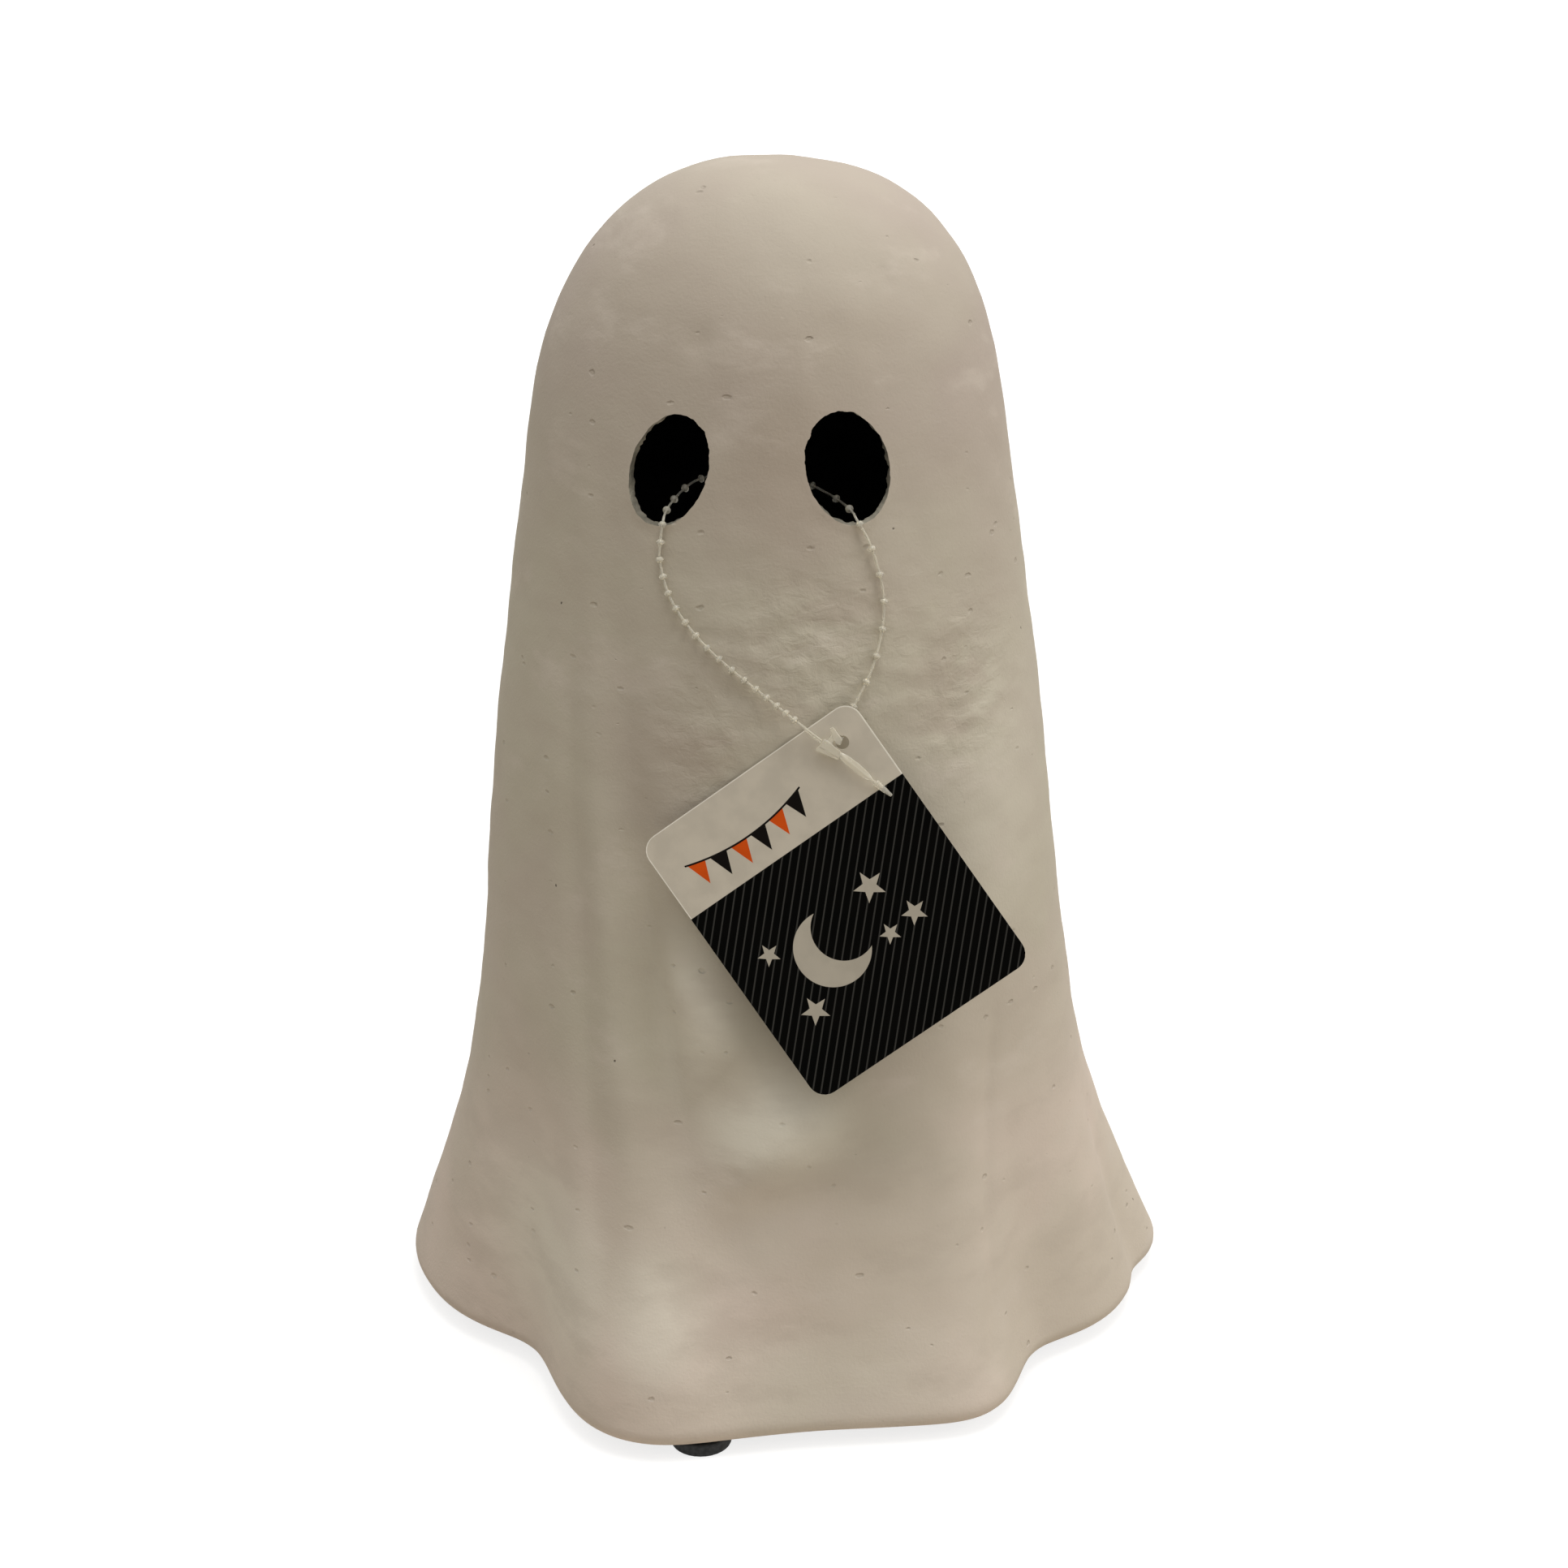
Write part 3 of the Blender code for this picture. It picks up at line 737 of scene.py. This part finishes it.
def eyeCutter(name, eye, material):
    # ragged oval bar: cleaner at the face, more torn where it comes out of the inside
    bm = bmesh.new()
    middle = Matrix.Translation((0.0, 0.0, 0.5 * (eyeCut["outside"] - eyeCut["inside"])))
    bmesh.ops.create_cone(bm, cap_ends=True, segments=eyeCut["segments"], radius1=1.0, radius2=1.0,
                          depth=eyeCut["outside"] + eyeCut["inside"], matrix=middle)
    # one loop of points just in front of the face, and one behind the wall
    for level in (0.0002, -form["wall"] - 0.001):
        bmesh.ops.bisect_plane(bm, geom=bm.verts[:] + bm.edges[:] + bm.faces[:], plane_co=(0.0, 0.0, level),
                               plane_no=(0.0, 0.0, 1.0))
    for vert in bm.verts:
        turn = math.atan2(vert.co.y, vert.co.x)
        inner = vert.co.z < -0.001
        rag = eyeCut["innerRag"] if inner else eyeCut["outerRag"]
        edge = Vector((0.5 * eye["width"] * math.cos(turn), 0.5 * eyeHeight * math.sin(turn), 0.0))
        seed = edge / eyeCut["ragSize"] + Vector((0.0, 0.0, 5.0 if inner else 2.0))
        push = rag * noise.fractal(seed, 0.7, 2.2, 3)
        if inner:
            push -= eyeCut["innerNarrowing"]
        edge += edge.normalized() * push
        if inner:
            edge.x += eye["innerShift"]
        vert.co.xy = edge.xy
    bmesh.ops.recalc_face_normals(bm, faces=bm.faces[:])
    cutter = linkPiece(name, meshFrom(bm, name), [material])
    cutter.matrix_world = eye["place"]
    cutter.hide_render = True
    return cutter


def makeShell():
    papier, innerBlack, cutEdge = papierMaterial(), insideBlackMaterial(), cutEdgeMaterial()
    shell = buildShell([papier, innerBlack])
    print("shell spun:", len(shell.data.polygons), "faces")
    cutters = []
    for side, eye in eyes.items():
        cutter = eyeCutter("eye_cutter_" + side, eye, cutEdge)
        cut = shell.modifiers.new("eye_" + side, "BOOLEAN")
        cut.operation = "DIFFERENCE"
        cut.solver = "EXACT"
        cut.material_mode = "TRANSFER"
        cut.object = cutter
        cutters.append(cutter)
    cutMesh = appliedMesh(shell)
    shell.modifiers.clear()
    shell.data = cutMesh
    for cutter in cutters:
        bpy.data.objects.remove(cutter)
    smoothShaded(cutMesh, 42.0)
    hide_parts("ghost_shell")
    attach(shell, "root")
    print("eyes cut:", len(cutMesh.polygons), "faces")


makeShell()


# Rubber pads under the hem: the solids' own shape, with a matt black finish

rubber = {
    "black": screenColour(16, 16, 15),
    "dust": screenColour(60, 57, 52),
    "dustShare": 0.3,
    "grainScale": 900.0,
    "grainHeight": 0.00008,
    "dustScale": 160.0,
    "roughness": (0.7, 0.88),
}


def rubberMaterial():
    material, tree, surface = newMaterial("pad_rubber", rubber["black"], 0.78)
    place = objectPlace(tree)
    grain = noiseOn(tree, place, rubber["grainScale"], 4.0)
    dust = ramp(tree, noiseOn(tree, place, rubber["dustScale"], 3.0), 0.5, 0.8, 0.0, rubber["dustShare"])
    tree.links.new(blendColour(tree, dust, rubber["black"], rubber["dust"]), surface.inputs["Base Color"])
    roughen(tree, surface, grain, *rubber["roughness"])
    addBump(tree, surface, grain, rubber["grainHeight"])
    return material


def dressPads():
    blackRubber = rubberMaterial()
    for name in ("pad_front", "pad_back_right", "pad_back_left"):
        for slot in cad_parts[name].material_slots:
            slot.material = blackRubber


dressPads()
print("pads dressed")


# Beaded loop of clear plastic: from behind the lock, through the tag, up to the right eye,
# round inside the head, out of the left eye and back down to the lock.
# Each point is x, level and how far the strand stands in front of the shell's outer face.

loopRoute = [
    (0.0137, 0.1868, 0.0049), (0.0138, 0.1866, 0.0041), (0.014, 0.1868, 0.0031),
    (0.0146, 0.1884, 0.0019), (0.016, 0.192, 0.0014), (0.0179, 0.1956, 0.0014),
    (0.0207, 0.201, 0.0014), (0.0228, 0.2074, 0.0014), (0.0239, 0.2139, 0.0014),
    (0.0238, 0.2204, 0.0014), (0.0223, 0.227, 0.0014), (0.0201, 0.2332, 0.0016),
    (0.0172, 0.2382, 0.0006), (0.0163, 0.239, -0.0035), (0.0143, 0.2392, -0.012),
    (0.0104, 0.2403, -0.0195), (0.004, 0.2423, -0.0245), (-0.006, 0.244, -0.027),
    (-0.015, 0.2443, -0.0248), (-0.0218, 0.2436, -0.0195), (-0.0252, 0.2423, -0.0145),
    (-0.0278, 0.2406, -0.0085), (-0.0293, 0.2392, -0.003), (-0.0299, 0.2378, 0.0008),
    (-0.0306, 0.2328, 0.0016), (-0.0308, 0.2283, 0.0014), (-0.0289, 0.2208, 0.0014),
    (-0.0252, 0.2146, 0.0014), (-0.0198, 0.2085, 0.0014), (-0.0136, 0.2032, 0.0014),
    (-0.0077, 0.1987, 0.0018), (-0.0019, 0.1945, 0.0032), (0.0026, 0.1914, 0.0049),
    (0.0086, 0.1869, 0.0059),
]
loop = {
    "diameter": 0.0008,  # of the solid strand, which the finer one lies inside
    "strandWidth": 0.00066,
    "smoothSteps": 6,
    "beadWidth": 0.0021,
    "beadLength": 0.0016,
    "beadRound": 16,
    "beadRings": 10,
    "firstBead": 0.0099,
    # distance along the strand and the pitch of the beads there
    "pitches": [(0.0, 0.0068), (0.056, 0.0068), (0.0575, 0.009), (0.0845, 0.0085), (0.11, 0.0062),
                (0.132, 0.0056), (0.1375, 0.0043), (0.178, 0.004), (0.205, 0.002)],
    "bareEnd": 0.0062,
}
clearPlastic = {
    "colour": screenColour(240, 235, 220),
    "transmission": 0.7,
    "refraction": 1.46,
    "roughness": (0.12, 0.28),
    "rippleScale": 700.0,
    "rippleHeight": 0.00003,
}


def smoothRoute(points, steps):
    # smooth curve through the points, so many pieces for each stretch
    ends = [2.0 * points[0] - points[1]] + points + [2.0 * points[-1] - points[-2]]
    smooth = []
    for a, b, c, d in zip(ends, ends[1:], ends[2:], ends[3:]):
        for step in range(steps):
            t = step / steps
            smooth.append(0.5 * (2.0 * b + (c - a) * t + (2.0 * a - 5.0 * b + 4.0 * c - d) * t ** 2
                                 + (3.0 * b - a - 3.0 * c + d) * t ** 3))
    smooth.append(points[-1])
    return smooth


def routeLength(points):
    return sum((b - a).length for a, b in zip(points, points[1:]))


def alongRoute(points, distance):
    # place and direction at a distance along the route
    for a, b in zip(points, points[1:]):
        step = (b - a).length
        if distance <= step:
            return a.lerp(b, distance / step), (b - a).normalized()
        distance -= step
    return points[-1], (points[-1] - points[-2]).normalized()


def clearPlasticMaterial():
    material, tree, surface = newMaterial("clear_plastic", clearPlastic["colour"], 0.2)
    ripple = noiseOn(tree, objectPlace(tree), clearPlastic["rippleScale"], 2.0)
    roughen(tree, surface, ripple, *clearPlastic["roughness"])
    surface.inputs["Transmission Weight"].default_value = clearPlastic["transmission"]
    surface.inputs["IOR"].default_value = clearPlastic["refraction"]
    addBump(tree, surface, ripple, clearPlastic["rippleHeight"])
    return material


def tubeMesh(name, points, radius):
    curve = bpy.data.curves.new(name, "CURVE")
    curve.dimensions = "3D"
    curve.bevel_depth = radius
    curve.bevel_resolution = 2
    curve.use_fill_caps = True
    spline = curve.splines.new("POLY")
    spline.points.add(len(points) - 1)
    for slot, point in zip(spline.points, points):
        slot.co = (*point, 1.0)
    holder = linkPiece(name, curve)
    mesh = appliedMesh(holder)
    bpy.data.objects.remove(holder)
    return mesh


def beadPitch(distance):
    for (start, pitch), (end, nextPitch) in zip(loop["pitches"], loop["pitches"][1:]):
        if distance < end:
            return pitch + (nextPitch - pitch) * (distance - start) / (end - start)
    return loop["pitches"][-1][1]


def makeLoop(plastic):
    path = smoothRoute([facePoint(*point) for point in loopRoute], loop["smoothSteps"])
    length = routeLength(path)
    bm = bmesh.new()
    bm.from_mesh(tubeMesh("loop_tube", path, 0.5 * loop["strandWidth"]))
    bmesh.ops.remove_doubles(bm, verts=bm.verts[:], dist=0.000005)
    distance = loop["firstBead"]
    count = 0
    size = Matrix.Diagonal((loop["beadWidth"], loop["beadWidth"], loop["beadLength"], 1.0))
    while distance < length - loop["bareEnd"]:
        place, direction = alongRoute(path, distance)
        turn = direction.to_track_quat("Z", "Y").to_matrix().to_4x4()
        bmesh.ops.create_uvsphere(bm, u_segments=loop["beadRound"], v_segments=loop["beadRings"],
                                  radius=0.5, matrix=Matrix.Translation(place) @ turn @ size)
        distance += beadPitch(distance)
        count += 1
    mesh = meshFrom(bm, "beaded_loop")
    smoothShaded(mesh, 50.0)
    strand = linkPiece("beaded_loop", mesh, [plastic])
    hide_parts("loop_strand")
    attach(strand, "root")
    print("loop:", count, "beads on", round(length, 4), "m")
    return strand, path, length


# Tag frame at its hole: x across, y up along the card, z out of its face

tag = {
    "width": 0.0641,
    "height": 0.0781,
    "thickness": 0.0005,
    "corner": 0.0044,
    "holeRadius": 0.00175,
    "holeInset": 0.0077,
    "turn": 36.6,
    "lean": 5.2,
    "yaw": -5.5,
    "clearance": 0.0003,  # between the strand and the hole's edge
}


def tagHoleFrame():
    slope = math.degrees(math.atan((form["hemHalfDepth"] - form["shoulderHalfDepth"])
                                   / form["shoulderLevel"]))
    turn = turned(tag["yaw"], "Z") @ turned(90.0 - slope - tag["lean"], "X")
    holeDrop = tag["holeRadius"] - 0.5 * loop["diameter"] - tag["clearance"]
    return Matrix.Translation(facePoint(*loopRoute[1])) @ turn @ Matrix.Translation((0.0, -holeDrop, 0.0))


# Lock of the loop: shank, head with its tab and wing, flat leaf and barbed tip, fused into one moulding

lock = {
    "turn": -37.0,
    "lift": 0.0008,  # of its back over the tag's face
    "thickness": 0.0014,
    # rods along the axis: start, end, radius at each, and how far to one side
    "rods": {
        "shank": (0.0, 0.0016, 0.0006, 0.0006, 0.0),
        "sideStrand": (-0.0052, 0.001, 0.0003, 0.0003, -0.00072),
        "spine": (0.001, 0.015, 0.0006, 0.00042, 0.0),
        "neck": (0.013, 0.0172, 0.00042, 0.00042, 0.0),
        "tip": (0.0164, 0.0216, 0.00108, 0.0004, 0.0),
    },
    # flat plates: thickness, then the corners along and across the axis
    "plates": {
        "head": (0.0014, [(0.0, 0.0006), (0.005, 0.0008), (0.0058, -0.0008), (0.0003, -0.0016)]),
        "wing": (0.0009, [(0.0002, -0.0012), (0.0056, -0.0005), (0.006, -0.0013), (0.003, -0.0023),
                          (0.0002, -0.003), (-0.0002, -0.0025)]),
        "tab": (0.0009, [(0.0008, 0.0004), (0.0024, 0.0004), (0.002, 0.0032), (0.0008, 0.0036)]),
        "crossbar": (0.0012, [(-0.0005, 0.0034), (-0.0002, 0.0043), (0.0036, 0.0032), (0.0041, 0.0018),
                              (0.0029, 0.0015)]),
    },
    "leaf": {"middle": 0.01, "length": 0.0112, "width": 0.0024, "thick": 0.0008},
    "fuseSize": 0.00011,
    "smoothing": 6,
    "start": 0.0003,  # how far along the axis it stands off the strand's end
}


def addPlate(bm, thick, corners):
    base = bm.faces.new([bm.verts.new((x, y, -0.5 * thick)) for x, y in corners])
    raised = bmesh.ops.extrude_face_region(bm, geom=[base])["geom"]
    top = [part for part in raised if isinstance(part, bmesh.types.BMVert)]
    bmesh.ops.translate(bm, verts=top, vec=(0.0, 0.0, thick))


def addRod(bm, start, end, startRadius, endRadius, aside):
    middle = Matrix.Translation((0.5 * (start + end), aside, 0.0))
    bmesh.ops.create_cone(bm, cap_ends=True, segments=20, radius1=startRadius, radius2=endRadius,
                          depth=end - start, matrix=middle @ turned(90.0, "Y"))


def makeLock(plastic, path):
    bm = bmesh.new()
    leaf = lock["leaf"]
    for rod in lock["rods"].values():
        addRod(bm, *rod)
    for thick, corners in lock["plates"].values():
        addPlate(bm, thick, corners)
    leafSize = Matrix.Diagonal((leaf["length"], leaf["width"], leaf["thick"], 1.0))
    bmesh.ops.create_uvsphere(bm, u_segments=24, v_segments=14, radius=0.5,
                              matrix=Matrix.Translation((leaf["middle"], 0.0, 0.0)) @ leafSize)
    bmesh.ops.recalc_face_normals(bm, faces=bm.faces[:])
    piece = linkPiece("loop_lock_moulding", meshFrom(bm, "loop_lock_moulding"), [plastic])
    fuse = piece.modifiers.new("fuse", "REMESH")
    fuse.mode = "VOXEL"
    fuse.voxel_size = lock["fuseSize"]
    fused = appliedMesh(piece)
    piece.modifiers.clear()
    bm = bmesh.new()
    bm.from_mesh(fused)
    for _ in range(lock["smoothing"]):
        bmesh.ops.smooth_vert(bm, verts=bm.verts[:], factor=0.5, use_axis_x=True, use_axis_y=True,
                              use_axis_z=True)
    holeFrame = tagHoleFrame()
    strandEnd = holeFrame.inverted() @ path[-1]
    rise = 0.5 * tag["thickness"] + lock["lift"] + 0.5 * lock["thickness"]
    start = holeFrame @ Matrix.Translation((strandEnd.x, strandEnd.y, rise)) @ turned(lock["turn"], "Z")
    bmesh.ops.transform(bm, matrix=start @ Matrix.Translation((lock["start"], 0.0, 0.0)), verts=bm.verts[:])
    piece.data = meshFrom(bm, "loop_lock_moulding")
    piece.data.materials.append(plastic)
    smoothShaded(piece.data, 60.0)
    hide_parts("loop_lock")
    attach(piece, "root")
    print("lock moulded:", len(piece.data.polygons), "faces")
    return piece


# Printed card tag: the solid's own card. Its print has a pale band over a black field with thin
# slanting stripes, a string of bunting on the band, and a moon and stars on the field.
# The print is laid out in millimetres across and up the card from its hole.

tagPrint = {
    "bandColour": screenColour(204, 195, 178),
    # white core of the card, on its cut sides and in the painted highlight along its outline
    "edgeColour": screenColour(238, 232, 218),
    "fieldColour": screenColour(3, 3, 2),
    "stripeColour": screenColour(58, 57, 54),
    "orange": screenColour(214, 84, 24),
    "ink": screenColour(20, 17, 15),
    "pale": screenColour(184, 176, 160),
    "bandLevel": -14.7,
    "stripeTurn": 46.0,
    "stripePitch": 2.05,
    "stripeWidth": 0.38,
    "soft": 0.05,
    "rimHighlightWidth": 0.26,
    "gloss": 0.02,
    "roughness": (0.42, 0.58),
    "wear": 0.1,
    "fibreHeight": 0.00002,
}
bunting = {"start": -50.0, "end": -15.0, "level": -3.0, "sag": 2.8, "flags": 6,
           "flagWidth": 4.6, "flagDrop": 6.2, "cord": 0.5}
night = {
    "moon": (-31.5, -40.5, 9.8),
    "bite": (-26.3, -37.9, 8.2),
    "stars": [(-15.0, -33.0, 4.2), (-17.5, -45.5, 2.8), (-9.5, -44.5, 3.4), (-45.5, -33.0, 3.0),
              (-44.0, -51.0, 3.8)],
    "starWaist": 0.42,
}


def tagMatrix():
    return tagHoleFrame() @ turned(tag["turn"], "Z")


def inkEdge(tree, depth):
    # 1 where the depth inside a printed shape is more than nothing, with a soft edge
    return ramp(tree, depth, -tagPrint["soft"], tagPrint["soft"])


def discDepth(tree, place, disc):
    x, y, radius = disc
    return minus(tree, radius, vectorMaths(tree, "DISTANCE", place, (x, y, 0.0)))


def starGroup():
    # a five-pointed star, point up, at a centre on the card
    group, given, result = newGroup("printedStar", ["Place", "Centre"], ["Size"], ["Ink"])
    point = math.radians(36.0)
    away = vectorMaths(group, "SUBTRACT", given["Place"], given["Centre"])
    x, y, _ = apartOf(group, away)
    reach = vectorMaths(group, "LENGTH", away)
    turn = maths(group, "PINGPONG", maths(group, "ARCTAN2", x, y), point)
    waist = night["starWaist"]
    normal = Vector((waist * math.sin(point), 1.0 - waist * math.cos(point))).normalized()
    along = times(group, reach, maths(group, "COSINE", turn))
    aside = times(group, reach, maths(group, "SINE", turn))
    out = maths(group, "MULTIPLY_ADD", along, normal.x, times(group, aside, normal.y))
    depth = minus(group, times(group, given["Size"], normal.x), out)
    group.links.new(inkEdge(group, depth), result["Ink"])
    return group


def nightInk(tree, place):
    # the crescent is one disc less another, and the stars stand round it
    moon = inkEdge(tree, discDepth(tree, place, night["moon"]))
    bite = ramp(tree, discDepth(tree, place, night["bite"]), -tagPrint["soft"], tagPrint["soft"], 1.0, 0.0)
    ink = times(tree, moon, bite)
    star = starGroup()
    for x, y, size in night["stars"]:
        node = addNode(tree, "Group", {"Place": place, "Centre": (x, y, 0.0), "Size": size},
                       node_tree=star)
        ink = maths(tree, "MAXIMUM", ink, node.outputs["Ink"])
    return ink


def buntingInk(tree, x, y):
    # masks of the flags and of their cord, and 0 or 1 for each flag in turn
    pitch = (bunting["end"] - bunting["start"]) / bunting["flags"]
    number = maths(tree, "DIVIDE", minus(tree, x, bunting["start"]), pitch)
    share = maths(tree, "DIVIDE", number, bunting["flags"])
    inRange = times(tree, maths(tree, "GREATER_THAN", share, 0.0), maths(tree, "LESS_THAN", share, 1.0))
    hang = times(tree, share, minus(tree, 1.0, share))
    level = maths(tree, "MULTIPLY_ADD", hang, -4.0 * bunting["sag"], bunting["level"])
    below = minus(tree, level, y)
    aside = maths(tree, "ABSOLUTE", minus(tree, maths(tree, "FRACT", number), 0.5))
    half = maths(tree, "MULTIPLY_ADD", below, -0.5 * bunting["flagWidth"] / bunting["flagDrop"],
                 0.5 * bunting["flagWidth"])
    flags = inkEdge(tree, maths(tree, "MULTIPLY_ADD", aside, -pitch, half))
    flags = times(tree, flags, inkEdge(tree, below))
    cord = inkEdge(tree, minus(tree, 0.5 * bunting["cord"], maths(tree, "ABSOLUTE", below)))
    odd = maths(tree, "FLOORED_MODULO", maths(tree, "FLOOR", number), 2.0)
    return times(tree, flags, inRange), times(tree, cord, inRange), odd


def paintedRimHighlight(tree, x, y):
    # painted highlight: 1 close to the card's outline, where its cut edge catches the light
    corner = 1000.0 * tag["corner"]
    outs = []
    for value, size in ((x, tag["width"]), (y, tag["height"])):
        middle = 1000.0 * (tag["holeInset"] - 0.5 * size)
        away = maths(tree, "ABSOLUTE", minus(tree, value, middle))
        out = maths(tree, "MAXIMUM", minus(tree, away, 500.0 * size - corner), 0.0)
        outs.append(times(tree, out, out))
    reach = maths(tree, "SQRT", maths(tree, "ADD", *outs))
    return inkEdge(tree, minus(tree, reach, corner - tagPrint["rimHighlightWidth"]))


def stripeInk(tree, x, y):
    turn = math.radians(tagPrint["stripeTurn"])
    across = maths(tree, "MULTIPLY_ADD", x, math.sin(turn), times(tree, y, -math.cos(turn)))
    away = maths(tree, "PINGPONG", across, 0.5 * tagPrint["stripePitch"])
    return inkEdge(tree, minus(tree, 0.5 * tagPrint["stripeWidth"], away))


def cardMaterial(node):
    look = tagPrint
    material, tree, surface = newMaterial("printed_card", look["bandColour"], 0.5, gloss=look["gloss"])
    shift, turn, _ = (tagMatrix().inverted() @ node.matrix_world).decompose()
    millimetres = {"Vector": objectPlace(tree), "Location": 1000.0 * shift, "Rotation": turn.to_euler(),
                   "Scale": (1000.0, 1000.0, 1000.0)}
    place = addNode(tree, "Mapping", millimetres).outputs[0]
    x, y, z = apartOf(tree, place)
    flat = addNode(tree, "CombineXYZ", {0: x, 1: y}).outputs[0]
    cloud = noiseOn(tree, place, 0.12, 3.0)
    fibres = noiseOn(tree, place, 1.4, 3.0)

    face = maths(tree, "GREATER_THAN", z, 200.0 * tag["thickness"])
    onField = ramp(tree, y, look["bandLevel"] - look["soft"], look["bandLevel"] + look["soft"], 1.0, 0.0)
    field = blendColour(tree, stripeInk(tree, x, y), look["fieldColour"], look["stripeColour"])
    field = blendColour(tree, nightInk(tree, flat), field, look["pale"])
    flags, cord, odd = buntingInk(tree, x, y)
    flagColour = blendColour(tree, odd, look["orange"], look["ink"])
    band = blendColour(tree, flags, look["bandColour"], flagColour)
    band = blendColour(tree, cord, band, look["ink"])
    # painted highlight along the card's outline
    band = blendColour(tree, paintedRimHighlight(tree, x, y), band, look["edgeColour"])
    printed = blendColour(tree, onField, band, field)
    edge = blendColour(tree, onField, look["edgeColour"], look["fieldColour"])
    colour = blendColour(tree, face, edge, printed)
    worn = ramp(tree, cloud, 0.35, 0.65, 0.0, look["wear"])
    tree.links.new(blendColour(tree, worn, colour, look["ink"]), surface.inputs["Base Color"])
    roughen(tree, surface, fibres, *look["roughness"])
    addBump(tree, surface, fibres, look["fibreHeight"])
    return material


def dressTag():
    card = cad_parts["hang_tag"]
    material = cardMaterial(card)
    for slot in card.material_slots:
        slot.material = material
    print("tag printed")
    return card


plastic = clearPlasticMaterial()
beadedLoop, loopPath, loopLength = makeLoop(plastic)
lockPiece = makeLock(plastic, loopPath)
card = dressTag()


# Floor and light. The floor and world glow white for the camera and in gloss, and a plain tone
# for everything else, so the object's shadow stays on the floor.

studio = {
    "floorSize": 12.0,
    "bounceColour": screenColour(206, 197, 184),
    "seenColour": screenColour(150, 149, 147),
    "nearGlow": 0.78,
    "glowReach": (0.5, 2.5),
    "hollowReach": (0.045, 0.07),
    "lowSky": 0.14,
    "highSky": 0.95,
    "skyRise": (0.25, 1.0),
    "lampAim": (0.0, 0.0, 0.15),
}
lamps = {
    "overhead": {"place": (0.2, -0.18, 1.9), "size": 0.9, "power": 17.0},
    "right": {"place": (1.3, -0.2, 0.7), "size": 0.8, "power": 4.4},
}


def cameraSeesShare(tree):
    # 1 for what the camera sees itself, in gloss or through clear plastic
    path = addNode(tree, "LightPath").outputs
    share = maths(tree, "MAXIMUM", path["Is Camera Ray"], path["Is Glossy Ray"])
    return maths(tree, "MAXIMUM", share, path["Is Transmission Ray"])


def makeFloor():
    bm = bmesh.new()
    bmesh.ops.create_circle(bm, cap_ends=True, segments=96, radius=studio["floorSize"])
    material, tree, surface = newMaterial("floor", studio["bounceColour"], 0.9)
    seen = cameraSeesShare(tree)
    colour = blendColour(tree, seen, studio["bounceColour"], studio["seenColour"])
    tree.links.new(colour, surface.inputs["Base Color"])
    away = vectorMaths(tree, "LENGTH", objectPlace(tree))
    glow = times(tree, seen, ramp(tree, away, *studio["glowReach"], studio["nearGlow"], 1.0))
    # the floor under the hollow shell doesn't glow, so the inside stays dark through the eye holes
    glow = times(tree, glow, ramp(tree, away, *studio["hollowReach"]))
    tree.links.new(glow, surface.inputs["Emission Strength"])
    surface.inputs["Emission Color"].default_value = (1.0, 1.0, 1.0, 1.0)
    floor = linkPiece("floor", meshFrom(bm, "floor"), [material])


def makeWorld():
    # a soft dome, brightest overhead
    world = bpy.data.worlds.new("studio")
    world.use_nodes = True
    bpy.context.scene.world = world
    tree = world.node_tree
    background = tree.nodes["Background"]
    background.inputs["Color"].default_value = (1.0, 1.0, 1.0, 1.0)
    direction = addNode(tree, "TexCoord").outputs["Generated"]
    dome = ramp(tree, apartOf(tree, direction)[2], *studio["skyRise"], studio["lowSky"], studio["highSky"])
    strength = addNode(tree, "Mix", {0: cameraSeesShare(tree), 2: dome, 3: 1.0})
    tree.links.new(strength.outputs[0], background.inputs["Strength"])


def addLamps():
    for name, lamp in lamps.items():
        light = bpy.data.lights.new(name, "AREA")
        light.shape = "DISK"
        light.size = lamp["size"]
        light.energy = lamp["power"]
        holder = linkPiece(name, light)
        holder.location = lamp["place"]
        toward = Vector(studio["lampAim"]) - Vector(lamp["place"])
        holder.rotation_euler = toward.to_track_quat("-Z", "Y").to_euler()


makeFloor()
makeWorld()
addLamps()
bpy.context.scene.view_settings.view_transform = "Standard"
print("studio set")
